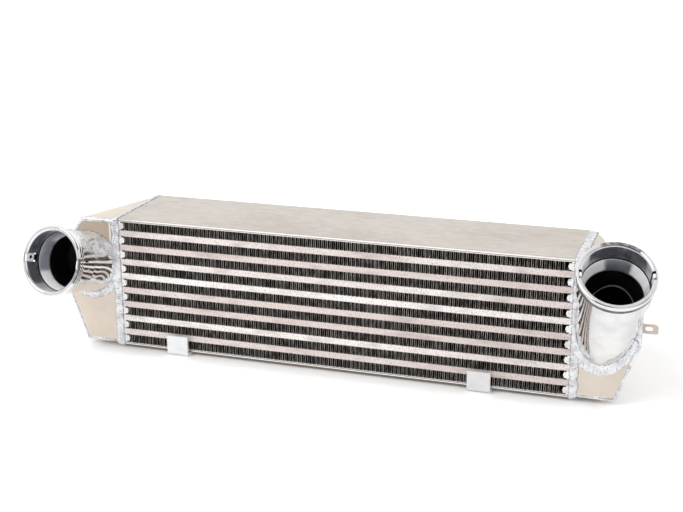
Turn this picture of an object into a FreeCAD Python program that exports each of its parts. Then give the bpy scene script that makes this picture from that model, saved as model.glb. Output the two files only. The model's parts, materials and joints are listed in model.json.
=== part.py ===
"""Air-to-air intercooler: a brazed bar-and-plate core between two welded end tanks.

Frame: +X along the core, +Y to the back and +Z up, with the origin at the middle of the
left bracket's foot, where the part is fastened and stands. The document is drawn round
the middle of the core's underside, and the files are written in that frame. All sizes
are in millimetres and degrees. Each side of the core has a tank folded from sheet, a flat
tank front, a pipe welded to that front and a turned collar for a clipped hose coupling.
Two brackets hold the core from below, and a slotted tab stands on the right tank.
"""
import FreeCAD, Part
import os
import Sketcher

FIN_ROWS = 9
TUBE_ROWS = FIN_ROWS - 1
AMBIENT_WALL_COUNT = 124
CHARGE_WALL_COUNT = 20

SIZES = [
    ("core_length", 512.0),
    ("core_depth", 109.0),
    ("fin_height", 9.65),
    ("bar_height", 6.3),
    ("bar_depth", 6.0),
    ("sheet_thickness", 0.4),
    ("side_plate", 3.6),
    ("fin_sheet", 0.5),
    ("fin_clearance", 0.3),
    ("end_bar_width", 5.5),
    ("end_bar_nose", 1.8),
    ("tank_wall", 3.0),
    ("tank_top_step", 2.2),
    ("tank_foot_step", 2.8),
    ("tank_top_reach", 45.5),
    ("tank_foot_reach", 46.5),
    ("tank_back_reach", 9.0),
    ("left_tank_rim", 3.0),
    ("right_tank_rim", 4.0),
    ("left_tank_shoulder", 14.0),
    ("right_tank_shoulder", 22.0),
    ("tank_knee_drop", 25.0),
    ("pipe_radius", 31.75),
    ("pipe_wall", 2.3),
    ("left_port_offset", 38.3),
    ("left_port_height", 96.25),
    ("left_port_turn", -7.8),
    ("left_port_rise", 16.6),
    ("left_port_length", 71.3),
    ("right_port_offset", 35.2),
    ("right_port_height", 90.05),
    ("right_port_turn", 13.1),
    ("right_port_rise", 52.0),
    ("right_port_length", 81.5),
    ("flare_radius", 34.0),
    ("flare_length", 26.0),
    ("collar_radius", 39.0),
    ("collar_length", 37.0),
    ("lip_width", 5.0),
    ("lip_edge", 1.2),
    ("mouth_bevel", 1.6),
    ("lip_ring_radius", 38.3),
    ("lip_ring_end", 10.0),
    ("barrel_radius", 36.5),
    ("barrel_length", 31.0),
    ("barrel_bevel", 2.5),
    ("seat_radius", 33.5),
    ("seat_depth", 20.0),
    ("seal_groove_radius", 34.4),
    ("seal_groove_width", 1.4),
    ("throat_depth", 35.0),
    ("throat_radius", 32.8),
    ("outer_groove_radius", 37.8),
    ("outer_groove_width", 1.2),
    ("clip_slot_width", 10.0),
    ("clip_slot_depth", 19.0),
    ("clip_slot_reach", 36.9),
    ("collar_clearance", 0.3),
    ("core_weld_inset", 4.0),
    ("core_weld_height", 2.0),
    ("core_weld_bevel", 1.4),
    ("left_pipe_weld_width", 4.5),
    ("left_pipe_weld_drop", 2.3),
    ("right_pipe_weld_width", 6.5),
    ("right_pipe_weld_drop", 0.0),
    ("pipe_weld_height", 6.0),
    ("pipe_weld_crest", 0.6),
    ("bracket_width", 25.0),
    ("bracket_plate", 3.0),
    ("bracket_standoff", 5.0),
    ("bracket_height", 23.4),
    ("bracket_leg", 62.0),
    ("bracket_bend", 4.5),
    ("left_bracket_inset", 71.0),
    ("right_bracket_inset", 94.0),
    ("tab_thickness", 3.0),
    ("tab_height", 9.6),
    ("tab_reach", 84.0),
    ("tab_middle_height", 79.0),
    ("tab_set_back", 14.5),
    ("tab_corner", 2.4),
    ("tab_slot_length", 8.0),
    ("tab_slot_width", 5.0),
    ("tab_slot_edge", 9.2),
]

HALF_LENGTH = "Sizes.core_length / 2"
HALF_DEPTH = "Sizes.core_depth / 2"
TUBE_HEIGHT = "(Sizes.bar_height + 2 * Sizes.sheet_thickness)"
ROW_PITCH = f"(Sizes.fin_height + {TUBE_HEIGHT})"
CORE_HEIGHT = f"({TUBE_ROWS} * {ROW_PITCH} + Sizes.fin_height + 2 * Sizes.side_plate)"
TANK_TOP = f"({CORE_HEIGHT} - Sizes.tank_top_step)"
CORE_WELD_WIDTH = "(Sizes.core_weld_inset + Sizes.tank_back_reach)"

doc = FreeCAD.newDocument("Intercooler")
sheet = doc.addObject("Spreadsheet::Sheet", "Sizes")
for row, (alias, number) in enumerate(SIZES, start=1):
    sheet.set(f"A{row}", alias)
    sheet.set(f"B{row}", str(number))
    sheet.setAlias(f"B{row}", alias)
doc.recompute()

pieces = {}


def size(expression):
    """Read a sheet expression as a plain number."""
    result = sheet.evalExpression(expression)
    return float(getattr(result, "Value", result))


def bind(thing, **expressions):
    """Tie properties to sheet expressions; a double underscore stands for a dot."""
    for name, expression in expressions.items():
        thing.setExpression(name.replace("__", "."), expression)
    return thing


def make(kind, name, **expressions):
    """Add a document object with its sizes tied to the sheet."""
    return bind(doc.addObject(kind, name), **expressions)


def keep(thing, node):
    """Mark a finished object as one sub-part of the assembly."""
    thing.Label = node
    pieces[node] = thing
    return thing


def cut(base, tool, name):
    """Take one solid out of another."""
    result = doc.addObject("Part::Cut", name)
    result.Base = base
    result.Tool = tool
    return result


def box(name, low, spans):
    """A block from its low corner and its three spans, all sheet expressions."""
    block = make("Part::Box", name, Length=spans[0], Width=spans[1], Height=spans[2])
    bind(block, Placement=f"placement(vector({low[0]}; {low[1]}; {low[2]}); rotation(0; 0; 0))")
    return block


def draw_outline(sketch, corners):
    """Draw a closed outline whose corners are pairs of sheet expressions."""
    points = [FreeCAD.Vector(size(across), size(up), 0) for across, up in corners]
    count = len(points)
    first = sketch.GeometryCount
    for index in range(count):
        sketch.addGeometry(Part.LineSegment(points[index], points[(index + 1) % count]))
    for index in range(count):
        following = first + (index + 1) % count
        sketch.addConstraint(Sketcher.Constraint("Coincident", first + index, 2, following, 1))
    for index, (across, up) in enumerate(corners):
        for kind, expression in (("DistanceX", across), ("DistanceY", up)):
            number = sketch.addConstraint(
                Sketcher.Constraint(kind, -1, 1, first + index, 1, size(expression)))
            sketch.setExpression(f"Constraints[{number}]", expression)


def upright_sketch(name, corners, station):
    """A sketch in an upright plane across the part, at a station along Y."""
    sketch = doc.addObject("Sketcher::SketchObject", name)
    bind(sketch, Placement=f"placement(vector(0; {station}; 0); rotation(0; 0; 90))")
    draw_outline(sketch, corners)
    return sketch


def new_body(node):
    """A body that becomes one sub-part."""
    return keep(doc.addObject("PartDesign::Body", node), node)


def body_sketch(body, name, role, corners):
    """A sketch on one of a body's own origin planes."""
    sketch = body.newObject("Sketcher::SketchObject", name)
    plane = [item for item in body.Origin.OriginFeatures if item.Role == role][0]
    sketch.AttachmentSupport = [(plane, "")]
    sketch.MapMode = "FlatFace"
    if corners:
        draw_outline(sketch, corners)
    return sketch


def pad(body, sketch, name, length, both_ways=False):
    """Pad a sketch by a sheet expression, one way or half each way."""
    feature = body.newObject("PartDesign::Pad", name)
    feature.Profile = sketch
    feature.SideType = "Symmetric" if both_ways else "One side"
    return bind(feature, Length=length)


def edge_names(shape, wanted):
    """Names of the edges whose middle points pass a test."""
    names = []
    for number, edge in enumerate(shape.Edges, start=1):
        middle = edge.valueAt((edge.FirstParameter + edge.LastParameter) / 2)
        if wanted(middle, edge):
            names.append(f"Edge{number}")
    return names


def corrugation(walls, span, height, metal):
    """Points of a folded strip: up one side and back along the other."""
    step = span / walls
    under = [(index * step, (index % 2) * (height - metal)) for index in range(walls + 1)]
    over = [(across, up + metal) for across, up in reversed(under)]
    return under + over


# Core: ambient fins and charge tubes in turn between two side plates
def row_height(row, offset="0"):
    """Height of a fin row's underside, counted from the top row."""
    return f"(Sizes.side_plate + {FIN_ROWS - row} * {ROW_PITCH} + {offset})"


def make_side_plates():
    """Plates that close the top and the bottom of the core."""
    spans = ("Sizes.core_length", "Sizes.core_depth", "Sizes.side_plate")
    corner = (f"-{HALF_LENGTH}", f"-{HALF_DEPTH}")
    keep(box("BottomPlate", (*corner, "0"), spans), "bottom_plate")
    keep(box("TopPlate", (*corner, f"{CORE_HEIGHT} - Sizes.side_plate"), spans), "top_plate")


def make_charge_tube(row):
    """Two parting sheets closed by a front and a rear bar, brazed as one tube."""
    low = row_height(row, f"-{TUBE_HEIGHT}")
    outer = box(f"TubeOuter{row}", (f"-{HALF_LENGTH}", f"-{HALF_DEPTH}", low),
                ("Sizes.core_length", "Sizes.core_depth", TUBE_HEIGHT))
    inner = box(f"TubeInner{row}",
                (f"-{HALF_LENGTH}", f"-{HALF_DEPTH} + Sizes.bar_depth", f"{low} + Sizes.sheet_thickness"),
                ("Sizes.core_length", "Sizes.core_depth - 2 * Sizes.bar_depth", "Sizes.bar_height"))
    keep(cut(outer, inner, f"ChargeTube{row}"), f"charge_tube_{row}")


def make_charge_fins():
    """Strips folded across the depth, one inside each charge tube."""
    span = size("Sizes.core_depth - 2 * Sizes.bar_depth - 2 * Sizes.fin_clearance")
    length = size("Sizes.core_length")
    points = corrugation(CHARGE_WALL_COUNT, span, size("Sizes.bar_height"), size("Sizes.fin_sheet"))
    corners = [FreeCAD.Vector(-length / 2, across - span / 2, up) for across, up in points]
    face = Part.Face(Part.makePolygon(corners + corners[:1]))
    strip = face.extrude(FreeCAD.Vector(length, 0, 0))
    for row in range(1, TUBE_ROWS + 1):
        fin = doc.addObject("Part::Feature", f"ChargeFin{row}")
        fin.Shape = strip
        low = row_height(row, f"Sizes.sheet_thickness - {TUBE_HEIGHT}")
        bind(fin, Placement__Base__z=low)
        keep(fin, f"charge_fin_{row}")


def make_ambient_fins():
    """Strips folded along the core, open from front to back for the cooling air."""
    margin = "(Sizes.end_bar_width + Sizes.end_bar_nose + Sizes.fin_clearance)"
    span = size(f"Sizes.core_length - 2 * {margin}")
    depth = size("Sizes.core_depth")
    points = corrugation(AMBIENT_WALL_COUNT, span, size("Sizes.fin_height"), size("Sizes.fin_sheet"))
    corners = [FreeCAD.Vector(across - span / 2, -depth / 2, up) for across, up in points]
    face = Part.Face(Part.makePolygon(corners + corners[:1]))
    strip = face.extrude(FreeCAD.Vector(0, depth, 0))
    for row in range(1, FIN_ROWS + 1):
        fin = doc.addObject("Part::Feature", f"AmbientFin{row}")
        fin.Shape = strip
        bind(fin, Placement__Base__z=row_height(row))
        keep(fin, f"ambient_fin_{row}")


def make_end_bar(side, sign, row):
    """Bar that closes one end of a fin row, with its pointed nose towards the fins."""
    body = new_body(f"end_bar_{side}_{row}")
    outer = f"{sign} * {HALF_LENGTH}"
    inner = f"{sign} * ({HALF_LENGTH} - Sizes.end_bar_width)"
    tip = f"{sign} * ({HALF_LENGTH} - Sizes.end_bar_width - Sizes.end_bar_nose)"
    corners = [(outer, "0"), (inner, "0"), (tip, "Sizes.fin_height / 2"),
               (inner, "Sizes.fin_height"), (outer, "Sizes.fin_height")]
    profile = body_sketch(body, f"BarProfile_{side}_{row}", "XZ_Plane", corners)
    pad(body, profile, f"Bar_{side}_{row}", "Sizes.core_depth", both_ways=True)
    bind(body, Placement__Base__z=row_height(row))


# Tanks: a folded wrap with a flat front plate
NO_INSET = "0"
WALL_INSET = "Sizes.tank_wall"


def tank_outline(side, sign, inset):
    """Outline of a tank seen from the front, from the core's top corner outwards and down."""
    port = f"Sizes.{side}_port"
    side_reach = f"{port}_offset + Sizes.pipe_radius - Sizes.pipe_wall + Sizes.{side}_tank_rim"
    corners = [
        ("0", f"{TANK_TOP} - {inset}"),
        (f"Sizes.tank_top_reach - {inset}", f"{TANK_TOP} - {inset}"),
        (f"{side_reach} - {inset}", f"{port}_height + Sizes.{side}_tank_shoulder"),
        (f"{side_reach} - {inset}", f"{port}_height - Sizes.tank_knee_drop"),
        (f"Sizes.tank_foot_reach - {inset}", f"Sizes.tank_foot_step + {inset}"),
        ("0", f"Sizes.tank_foot_step + {inset}")]
    return [(f"{sign} * ({HALF_LENGTH} + {reach})", height) for reach, height in corners]


def tank_block(side, sign, inset, back):
    """Flat-sided block from the front outline to a narrow upright edge at the back."""
    front = size(f"-{HALF_DEPTH} + Sizes.tank_wall")
    corners = [FreeCAD.Vector(size(across), front, size(up))
               for across, up in tank_outline(side, sign, inset)]
    top_inner, top_outer, shoulder, knee, foot_outer, foot_inner = corners
    edge = size(f"{sign} * ({HALF_LENGTH} + Sizes.tank_back_reach - {inset})")
    back_top = FreeCAD.Vector(edge, size(back), top_inner.z)
    back_foot = FreeCAD.Vector(edge, size(back), foot_inner.z)
    back_top_inner = FreeCAD.Vector(top_inner.x, size(back), top_inner.z)
    back_foot_inner = FreeCAD.Vector(foot_inner.x, size(back), foot_inner.z)
    facets = [
        corners,
        [top_inner, top_outer, back_top, back_top_inner],
        [top_outer, shoulder, back_top],
        [shoulder, knee, back_foot, back_top],
        [knee, foot_outer, back_foot],
        [foot_outer, foot_inner, back_foot_inner, back_foot],
        [back_top, back_foot, back_foot_inner, back_top_inner],
        [foot_inner, top_inner, back_top_inner, back_foot_inner]]
    faces = [Part.Face(Part.makePolygon(facet + facet[:1])) for facet in facets]
    block = Part.Solid(Part.Shell(faces))
    block.fix(Part.Precision.confusion(), 0, 1)
    return block


def make_tank(side, sign):
    """Wrap folded from sheet, deep in front and narrow at the back, open to the core."""
    outer = doc.addObject("Part::Feature", f"TankOuter_{side}")
    outer.Shape = tank_block(side, sign, NO_INSET, HALF_DEPTH)
    inner = doc.addObject("Part::Feature", f"TankInner_{side}")
    inner.Shape = tank_block(side, sign, WALL_INSET, f"{HALF_DEPTH} - Sizes.tank_wall")
    keep(cut(outer, inner, f"TankShell_{side}"), f"{side}_tank_shell")
    return outer


def make_tank_front(side, sign, bore):
    """Flat plate over the wrap's front edge, holed for the pipe."""
    outline = upright_sketch(f"FrontOutline_{side}", tank_outline(side, sign, NO_INSET), f"-{HALF_DEPTH}")
    plate = doc.addObject("Part::Extrusion", f"FrontPlate_{side}")
    plate.Base = outline
    plate.Dir = FreeCAD.Vector(0, 1, 0)
    plate.DirMode = "Custom"
    plate.Solid = True
    bind(plate, LengthFwd="Sizes.tank_wall")
    keep(cut(plate, bore, f"TankFront_{side}"), f"{side}_tank_front")
    return outline


# Ports: a pipe on the slant with a turned collar at its mouth
def port_place(side, sign, along="0"):
    """Placement on a port's axis, measured from the tank's front face."""
    base = (f"vector({sign} * ({HALF_LENGTH} + Sizes.{side}_port_offset); -{HALF_DEPTH}; "
            f"Sizes.{side}_port_height)")
    turn = f"rotation(Sizes.{side}_port_turn; 0; 90 - Sizes.{side}_port_rise)"
    return f"placement({base}; {turn}) * placement(vector(0; 0; {along}); rotation(0; 0; 0))"


def coaxial(name, side, sign, radius, low, high):
    """Cylinder on a port's axis between two stations."""
    return make("Part::Cylinder", name, Radius=radius, Height=f"{high} - ({low})",
                Placement=port_place(side, sign, low))


def make_pipe(side, sign, flared):
    """Tube from the tank's front face to the collar; its foot is cut to that face."""
    behind = "-2 * Sizes.pipe_radius"
    mouth = f"(Sizes.{side}_port_length - Sizes.collar_length)"
    beyond = f"Sizes.{side}_port_length + Sizes.collar_radius"
    tube = coaxial(f"PipeOuter_{side}", side, sign, "Sizes.pipe_radius", behind, mouth)
    outside = tube
    if flared:
        cone = make("Part::Cone", f"Flare_{side}", Radius1="Sizes.flare_radius",
                    Radius2="Sizes.pipe_radius", Height="Sizes.flare_length",
                    Placement=port_place(side, sign))
        foot = coaxial(f"FlareFoot_{side}", side, sign, "Sizes.flare_radius", behind, "0")
        outside = doc.addObject("Part::MultiFuse", f"FlaredPipe_{side}")
        outside.Shapes = [tube, cone, foot]
        outside.Refine = True
    reach = "4 * Sizes.collar_radius"
    behind_face = box(f"BehindFace_{side}",
                      (f"{sign} * ({HALF_LENGTH} + Sizes.{side}_port_offset) - {reach}",
                       f"-{HALF_DEPTH}", f"Sizes.{side}_port_height - {reach}"),
                      (f"2 * {reach}", reach, f"2 * {reach}"))
    solid_pipe = cut(outside, behind_face, f"SolidPipe_{side}")
    bore = coaxial(f"Bore_{side}", side, sign, "Sizes.pipe_radius - Sizes.pipe_wall", behind, beyond)
    keep(cut(solid_pipe, bore, f"Pipe_{side}"), f"{side}_pipe")
    return solid_pipe, bore


def make_collar(side, sign):
    """Turned collar: a lip and a ring outside, a seat and a seal groove inside, two clip slots."""
    body = new_body(f"{side}_collar")
    rim = f"Sizes.{side}_port_length"
    back = f"({rim} - Sizes.collar_length)"
    groove_end = "(Sizes.lip_width + Sizes.outer_groove_width)"
    seal_end = "(Sizes.seat_depth + Sizes.seal_groove_width)"
    corners = [
        ("Sizes.seat_radius + Sizes.mouth_bevel", rim),
        ("Sizes.collar_radius - Sizes.lip_edge", rim),
        ("Sizes.collar_radius", f"{rim} - Sizes.lip_edge"),
        ("Sizes.collar_radius", f"{rim} - Sizes.lip_width"),
        ("Sizes.outer_groove_radius", f"{rim} - Sizes.lip_width"),
        ("Sizes.outer_groove_radius", f"{rim} - {groove_end}"),
        ("Sizes.lip_ring_radius", f"{rim} - {groove_end}"),
        ("Sizes.lip_ring_radius", f"{rim} - Sizes.lip_ring_end"),
        ("Sizes.barrel_radius", f"{rim} - Sizes.lip_ring_end"),
        ("Sizes.barrel_radius", f"{rim} - Sizes.barrel_length"),
        ("Sizes.pipe_radius", f"{rim} - Sizes.barrel_length - Sizes.barrel_bevel"),
        ("Sizes.pipe_radius", back),
        ("Sizes.pipe_radius - Sizes.pipe_wall", back),
        ("Sizes.pipe_radius - Sizes.pipe_wall", f"{rim} - Sizes.throat_depth"),
        ("Sizes.throat_radius", f"{rim} - {seal_end}"),
        ("Sizes.seal_groove_radius", f"{rim} - {seal_end}"),
        ("Sizes.seal_groove_radius", f"{rim} - Sizes.seat_depth"),
        ("Sizes.seat_radius", f"{rim} - Sizes.seat_depth"),
        ("Sizes.seat_radius", f"{rim} - Sizes.mouth_bevel"),
    ]
    profile = body_sketch(body, f"CollarProfile_{side}", "XZ_Plane", corners)
    turned = body.newObject("PartDesign::Revolution", f"Turned_{side}")
    turned.Profile = profile
    turned.ReferenceAxis = (profile, ["V_Axis"])
    turned.Angle = 360
    reach = "Sizes.clip_slot_reach"
    floor = f"({rim} - Sizes.clip_slot_depth)"
    slot = body_sketch(body, f"ClipSlot_{side}", "XZ_Plane", [
        (f"-{reach}", floor), (reach, floor), (reach, rim), (f"-{reach}", rim)])
    pocket = body.newObject("PartDesign::Pocket", f"ClipSlots_{side}")
    pocket.Profile = slot
    pocket.SideType = "Symmetric"
    bind(pocket, Length="Sizes.clip_slot_width")
    bind(body, Placement=port_place(side, sign))


# Welds
def foot_ellipse(side, radius, forward, drop):
    """Where a coaxial cylinder, lowered by the drop, meets a plane before the tank's face."""
    place = FreeCAD.Placement(pieces[f"{side}_collar"].Placement)
    axis = place.Rotation.multVec(FreeCAD.Vector(0, 0, 1))
    centre = place.Base + axis * (forward / -axis.y) - FreeCAD.Vector(0, 0, drop)
    long_way = FreeCAD.Vector(axis.x, 0, axis.z).normalize()
    short_way = FreeCAD.Vector(0, 1, 0).cross(long_way)
    ellipse = Part.Ellipse(centre + long_way * (radius / -axis.y), centre + short_way * radius, centre)
    return Part.Wire(ellipse.toShape())


def make_pipe_weld(side, sign, solid_pipe, outline):
    """Fillet weld round a pipe's foot, kept within the tank's front and clear of the collar."""
    radius = size("Sizes.flare_radius" if side == "left" else "Sizes.pipe_radius")
    height = size("Sizes.pipe_weld_height")
    drop = size(f"Sizes.{side}_pipe_weld_drop")
    toe = foot_ellipse(side, radius + size(f"Sizes.{side}_pipe_weld_width"), 0, drop)
    crest = foot_ellipse(side, radius + size("Sizes.pipe_weld_crest"), height, 0)
    fillet = Part.makeLoft([toe, crest], True, True)
    front = Part.Face(outline.Shape.Wires[0]).extrude(FreeCAD.Vector(0, -height, 0))
    rim = f"Sizes.{side}_port_length"
    neck = coaxial(f"NeckRoom_{side}", side, sign, "Sizes.pipe_radius", "0", rim)
    barrel = coaxial(f"BarrelRoom_{side}", side, sign, "Sizes.barrel_radius + Sizes.collar_clearance",
                     f"{rim} - Sizes.barrel_length - Sizes.barrel_bevel", rim)
    doc.recompute()
    weld = doc.addObject("Part::Feature", f"PipeWeld_{side}")
    weld.Shape = fillet.common(front).cut([solid_pipe.Shape, neck.Shape, barrel.Shape])
    keep(weld, f"{side}_pipe_weld")
    return weld


def make_core_weld(side, sign, solid_pipe, pipe_weld):
    """Weld band round the joint between the core and the slightly lower tank."""
    body = doc.addObject("PartDesign::Body", f"WeldBand_{side}")
    height = "Sizes.core_weld_height"
    outer = [(f"-{HALF_DEPTH} - {height}", f"-{height}"), (f"{HALF_DEPTH} + {height}", f"-{height}"),
             (f"{HALF_DEPTH} + {height}", f"{CORE_HEIGHT} + {height}"),
             (f"-{HALF_DEPTH} - {height}", f"{CORE_HEIGHT} + {height}")]
    foot = "Sizes.tank_foot_step"
    inner = [(f"-{HALF_DEPTH}", foot), (HALF_DEPTH, foot), (HALF_DEPTH, TANK_TOP),
             (f"-{HALF_DEPTH}", TANK_TOP)]
    ring = body_sketch(body, f"BandProfile_{side}", "YZ_Plane", outer)
    draw_outline(ring, inner)
    band = pad(body, ring, f"Band_{side}", CORE_WELD_WIDTH, both_ways=True)
    centre = f"{sign} * ({HALF_LENGTH} - Sizes.core_weld_inset + {CORE_WELD_WIDTH} / 2)"
    doc.recompute()
    reach = size(f"{HALF_DEPTH} + {height}")
    top = size(f"{CORE_HEIGHT} + {height}")
    close = size(height) / 4

    def on_rim(middle, edge):
        across = edge.tangentAt(edge.FirstParameter).x
        outside = abs(abs(middle.y) - reach) < close or middle.z < -close or middle.z > top - close
        return abs(across) < 0.5 and outside

    bevel = body.newObject("PartDesign::Chamfer", f"Bevel_{side}")
    bevel.Base = (band, edge_names(band.Shape, on_rim))
    bind(bevel, Size="Sizes.core_weld_bevel")
    bind(body, Placement__Base__x=centre)
    core = box(f"CoreRoom_{side}", (f"-{HALF_LENGTH}", f"-{HALF_DEPTH}", "0"),
               ("Sizes.core_length", "Sizes.core_depth", CORE_HEIGHT))
    room = doc.addObject("Part::MultiFuse", f"WeldRoom_{side}")
    room.Shapes = [solid_pipe, pipe_weld, core]
    keep(cut(body, room, f"CoreWeld_{side}"), f"{side}_core_weld")


# Brackets and tab
BRACKET_FRONT = f"(-{HALF_DEPTH} - Sizes.bracket_standoff - Sizes.bracket_plate)"


def bracket_middle(side, sign):
    """Place of a bracket's middle along the core."""
    return f"{sign} * ({HALF_LENGTH} - Sizes.{side}_bracket_inset)"


def make_bracket(side, sign):
    """Bent strip: its leg lies under the core and its plate stands in front of the fins."""
    body = new_body(f"{side}_bracket")
    front = BRACKET_FRONT
    face = f"({front} + Sizes.bracket_plate)"
    tail = f"({front} + Sizes.bracket_leg)"
    bottom = "-Sizes.bracket_plate"
    top = f"({bottom} + Sizes.bracket_height)"
    corners = [(front, bottom), (tail, bottom), (tail, "0"), (face, "0"), (face, top), (front, top)]
    profile = body_sketch(body, f"BracketProfile_{side}", "YZ_Plane", corners)
    strip = pad(body, profile, f"Strip_{side}", "Sizes.bracket_width", both_ways=True)
    doc.recompute()
    near = size("Sizes.bracket_plate") / 4
    bend_y = size(front)
    bend_z = size(bottom)

    def outer_bend(middle, edge):
        return abs(middle.y - bend_y) < near and abs(middle.z - bend_z) < near

    bend = body.newObject("PartDesign::Fillet", f"OuterBend_{side}")
    bend.Base = (strip, edge_names(strip.Shape, outer_bend))
    bind(bend, Radius="Sizes.bracket_bend")
    doc.recompute()
    inner_y = size(face)

    def inner_bend(middle, edge):
        return abs(middle.y - inner_y) < near and abs(middle.z) < near

    fold = body.newObject("PartDesign::Fillet", f"InnerBend_{side}")
    fold.Base = (bend, edge_names(bend.Shape, inner_bend))
    bind(fold, Radius="Sizes.bracket_bend - Sizes.bracket_plate")
    bind(body, Placement__Base__x=bracket_middle(side, sign))


def make_tab(tank_outer):
    """Slotted tab that stands out from the right tank's slanted side."""
    root = HALF_LENGTH
    end = f"({HALF_LENGTH} + Sizes.tab_reach)"
    low = "(Sizes.tab_middle_height - Sizes.tab_height / 2)"
    high = "(Sizes.tab_middle_height + Sizes.tab_height / 2)"
    station = f"(-{HALF_DEPTH} + Sizes.tab_set_back)"
    outline = upright_sketch("TabOutline", [
        (root, low), (f"{end} - Sizes.tab_corner / 2", low), (f"{end}", f"{low} + Sizes.tab_corner / 2"),
        (end, f"{high} - Sizes.tab_corner"), (f"{end} - Sizes.tab_corner", high), (root, high)], station)
    plate = doc.addObject("Part::Extrusion", "TabPlate")
    plate.Base = outline
    plate.DirMode = "Custom"
    plate.Dir = FreeCAD.Vector(0, 1, 0)
    plate.Solid = True
    bind(plate, LengthFwd="Sizes.tab_thickness")
    slot_end = f"({end} - Sizes.tab_slot_edge + (Sizes.tab_slot_length - Sizes.tab_slot_width) / 2)"
    slot_start = f"({slot_end} - Sizes.tab_slot_length + Sizes.tab_slot_width)"
    through = f"({station} - Sizes.tab_thickness)"
    rounds = []
    for number, middle in enumerate((slot_start, slot_end)):
        rounds.append(make("Part::Cylinder", f"SlotEnd{number}", Radius="Sizes.tab_slot_width / 2",
                           Height="3 * Sizes.tab_thickness",
                           Placement=f"placement(vector({middle}; {through}; "
                                     "Sizes.tab_middle_height); rotation(0; 0; -90))"))
    middle_block = box("SlotMiddle", (slot_start, through,
                                      "Sizes.tab_middle_height - Sizes.tab_slot_width / 2"),
                       (f"{slot_end} - {slot_start}", "3 * Sizes.tab_thickness", "Sizes.tab_slot_width"))
    slot = doc.addObject("Part::MultiFuse", "TabSlot")
    slot.Shapes = rounds + [middle_block]
    slotted = cut(plate, slot, "SlottedTab")
    keep(cut(slotted, tank_outer, "SideTab"), "side_tab")


def check_document():
    """Stop on any object that failed, and on any sub-part without a sound solid."""
    for thing in doc.Objects:
        if "Invalid" in thing.State or "Error" in thing.State:
            raise RuntimeError(f"{thing.Name} did not recompute: {thing.State}")
    for node, thing in pieces.items():
        if thing.Shape.isNull() or not thing.Shape.isValid() or not thing.Shape.Solids:
            raise RuntimeError(f"{node} has no sound solid")


def build():
    """Make every sub-part in the order in which the real one is put together."""
    make_side_plates()
    for row in range(1, TUBE_ROWS + 1):
        make_charge_tube(row)
    make_charge_fins()
    make_ambient_fins()
    tank_outers = {}
    for side, sign in (("left", -1), ("right", 1)):
        for row in range(1, FIN_ROWS + 1):
            make_end_bar(side, sign, row)
        tank_outers[side] = make_tank(side, sign)
        solid_pipe, bore = make_pipe(side, sign, flared=side == "left")
        outline = make_tank_front(side, sign, bore)
        make_collar(side, sign)
        doc.recompute()
        pipe_weld = make_pipe_weld(side, sign, solid_pipe, outline)
        make_core_weld(side, sign, solid_pipe, pipe_weld)
        make_bracket(side, sign)
    make_tab(tank_outers["right"])
    doc.recompute()
    check_document()


def export():
    """Write one STEP file for each sub-part, measured from the left bracket's foot."""
    place = (bracket_middle("left", -1), f"{BRACKET_FRONT} + Sizes.bracket_leg / 2", "-Sizes.bracket_plate")
    foot = FreeCAD.Vector(*[size(expression) for expression in place])
    os.makedirs("parts", exist_ok=True)
    for node, thing in pieces.items():
        shape = thing.Shape.copy()
        shape.translate(-foot)
        shape.exportStep(f"parts/{node}.step")
    print(f"{len(pieces)} sub-parts written")


build()
export()
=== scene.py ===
"""Looks of a bar-and-plate intercooler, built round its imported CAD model.

The core's fins are folded foil between bright bars, the tanks are folded sheet, the pipes
and collars are polished, and every joint has a rippled weld. All lengths are in metres, and
the frame is the CAD model's own.
"""
import json
import math

import bmesh
import bpy
from mathutils import Matrix, Vector, geometry, noise


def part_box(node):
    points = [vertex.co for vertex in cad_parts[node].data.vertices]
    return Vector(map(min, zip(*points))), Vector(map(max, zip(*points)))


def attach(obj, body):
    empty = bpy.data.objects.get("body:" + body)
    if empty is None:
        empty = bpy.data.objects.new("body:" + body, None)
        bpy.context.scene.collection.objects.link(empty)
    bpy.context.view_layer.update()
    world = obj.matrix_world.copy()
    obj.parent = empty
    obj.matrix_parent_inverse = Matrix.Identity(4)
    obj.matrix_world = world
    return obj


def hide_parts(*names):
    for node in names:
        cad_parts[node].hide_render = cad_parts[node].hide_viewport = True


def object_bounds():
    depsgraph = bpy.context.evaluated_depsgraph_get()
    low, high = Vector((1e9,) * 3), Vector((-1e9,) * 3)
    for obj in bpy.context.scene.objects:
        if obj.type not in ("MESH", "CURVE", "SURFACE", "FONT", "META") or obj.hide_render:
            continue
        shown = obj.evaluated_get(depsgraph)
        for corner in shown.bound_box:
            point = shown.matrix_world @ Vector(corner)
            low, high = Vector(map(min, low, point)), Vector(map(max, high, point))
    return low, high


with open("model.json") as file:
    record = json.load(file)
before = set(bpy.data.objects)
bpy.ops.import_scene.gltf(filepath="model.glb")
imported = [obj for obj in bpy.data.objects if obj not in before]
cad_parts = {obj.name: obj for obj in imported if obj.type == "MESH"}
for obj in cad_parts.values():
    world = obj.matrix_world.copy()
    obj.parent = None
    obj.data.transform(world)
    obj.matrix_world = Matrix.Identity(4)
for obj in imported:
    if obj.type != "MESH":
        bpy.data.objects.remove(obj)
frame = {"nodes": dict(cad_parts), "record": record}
CAD_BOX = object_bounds()

bl_info = {
    "name": "Intercooler",
    "version": (1, 0, 0),
    "blender": (4, 5, 0),
    "location": "View3D > Sidebar > Intercooler",
    "description": "Fins, polished pipes, welds and finishes of a bar-and-plate intercooler",
    "category": "Add Mesh",
}

MM = 0.001
NODES = frame["nodes"]
FIN_NODES = sorted(name for name in NODES if name.startswith("ambient_fin_"))
SIDES = {"left": -1.0, "right": 1.0}

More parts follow.
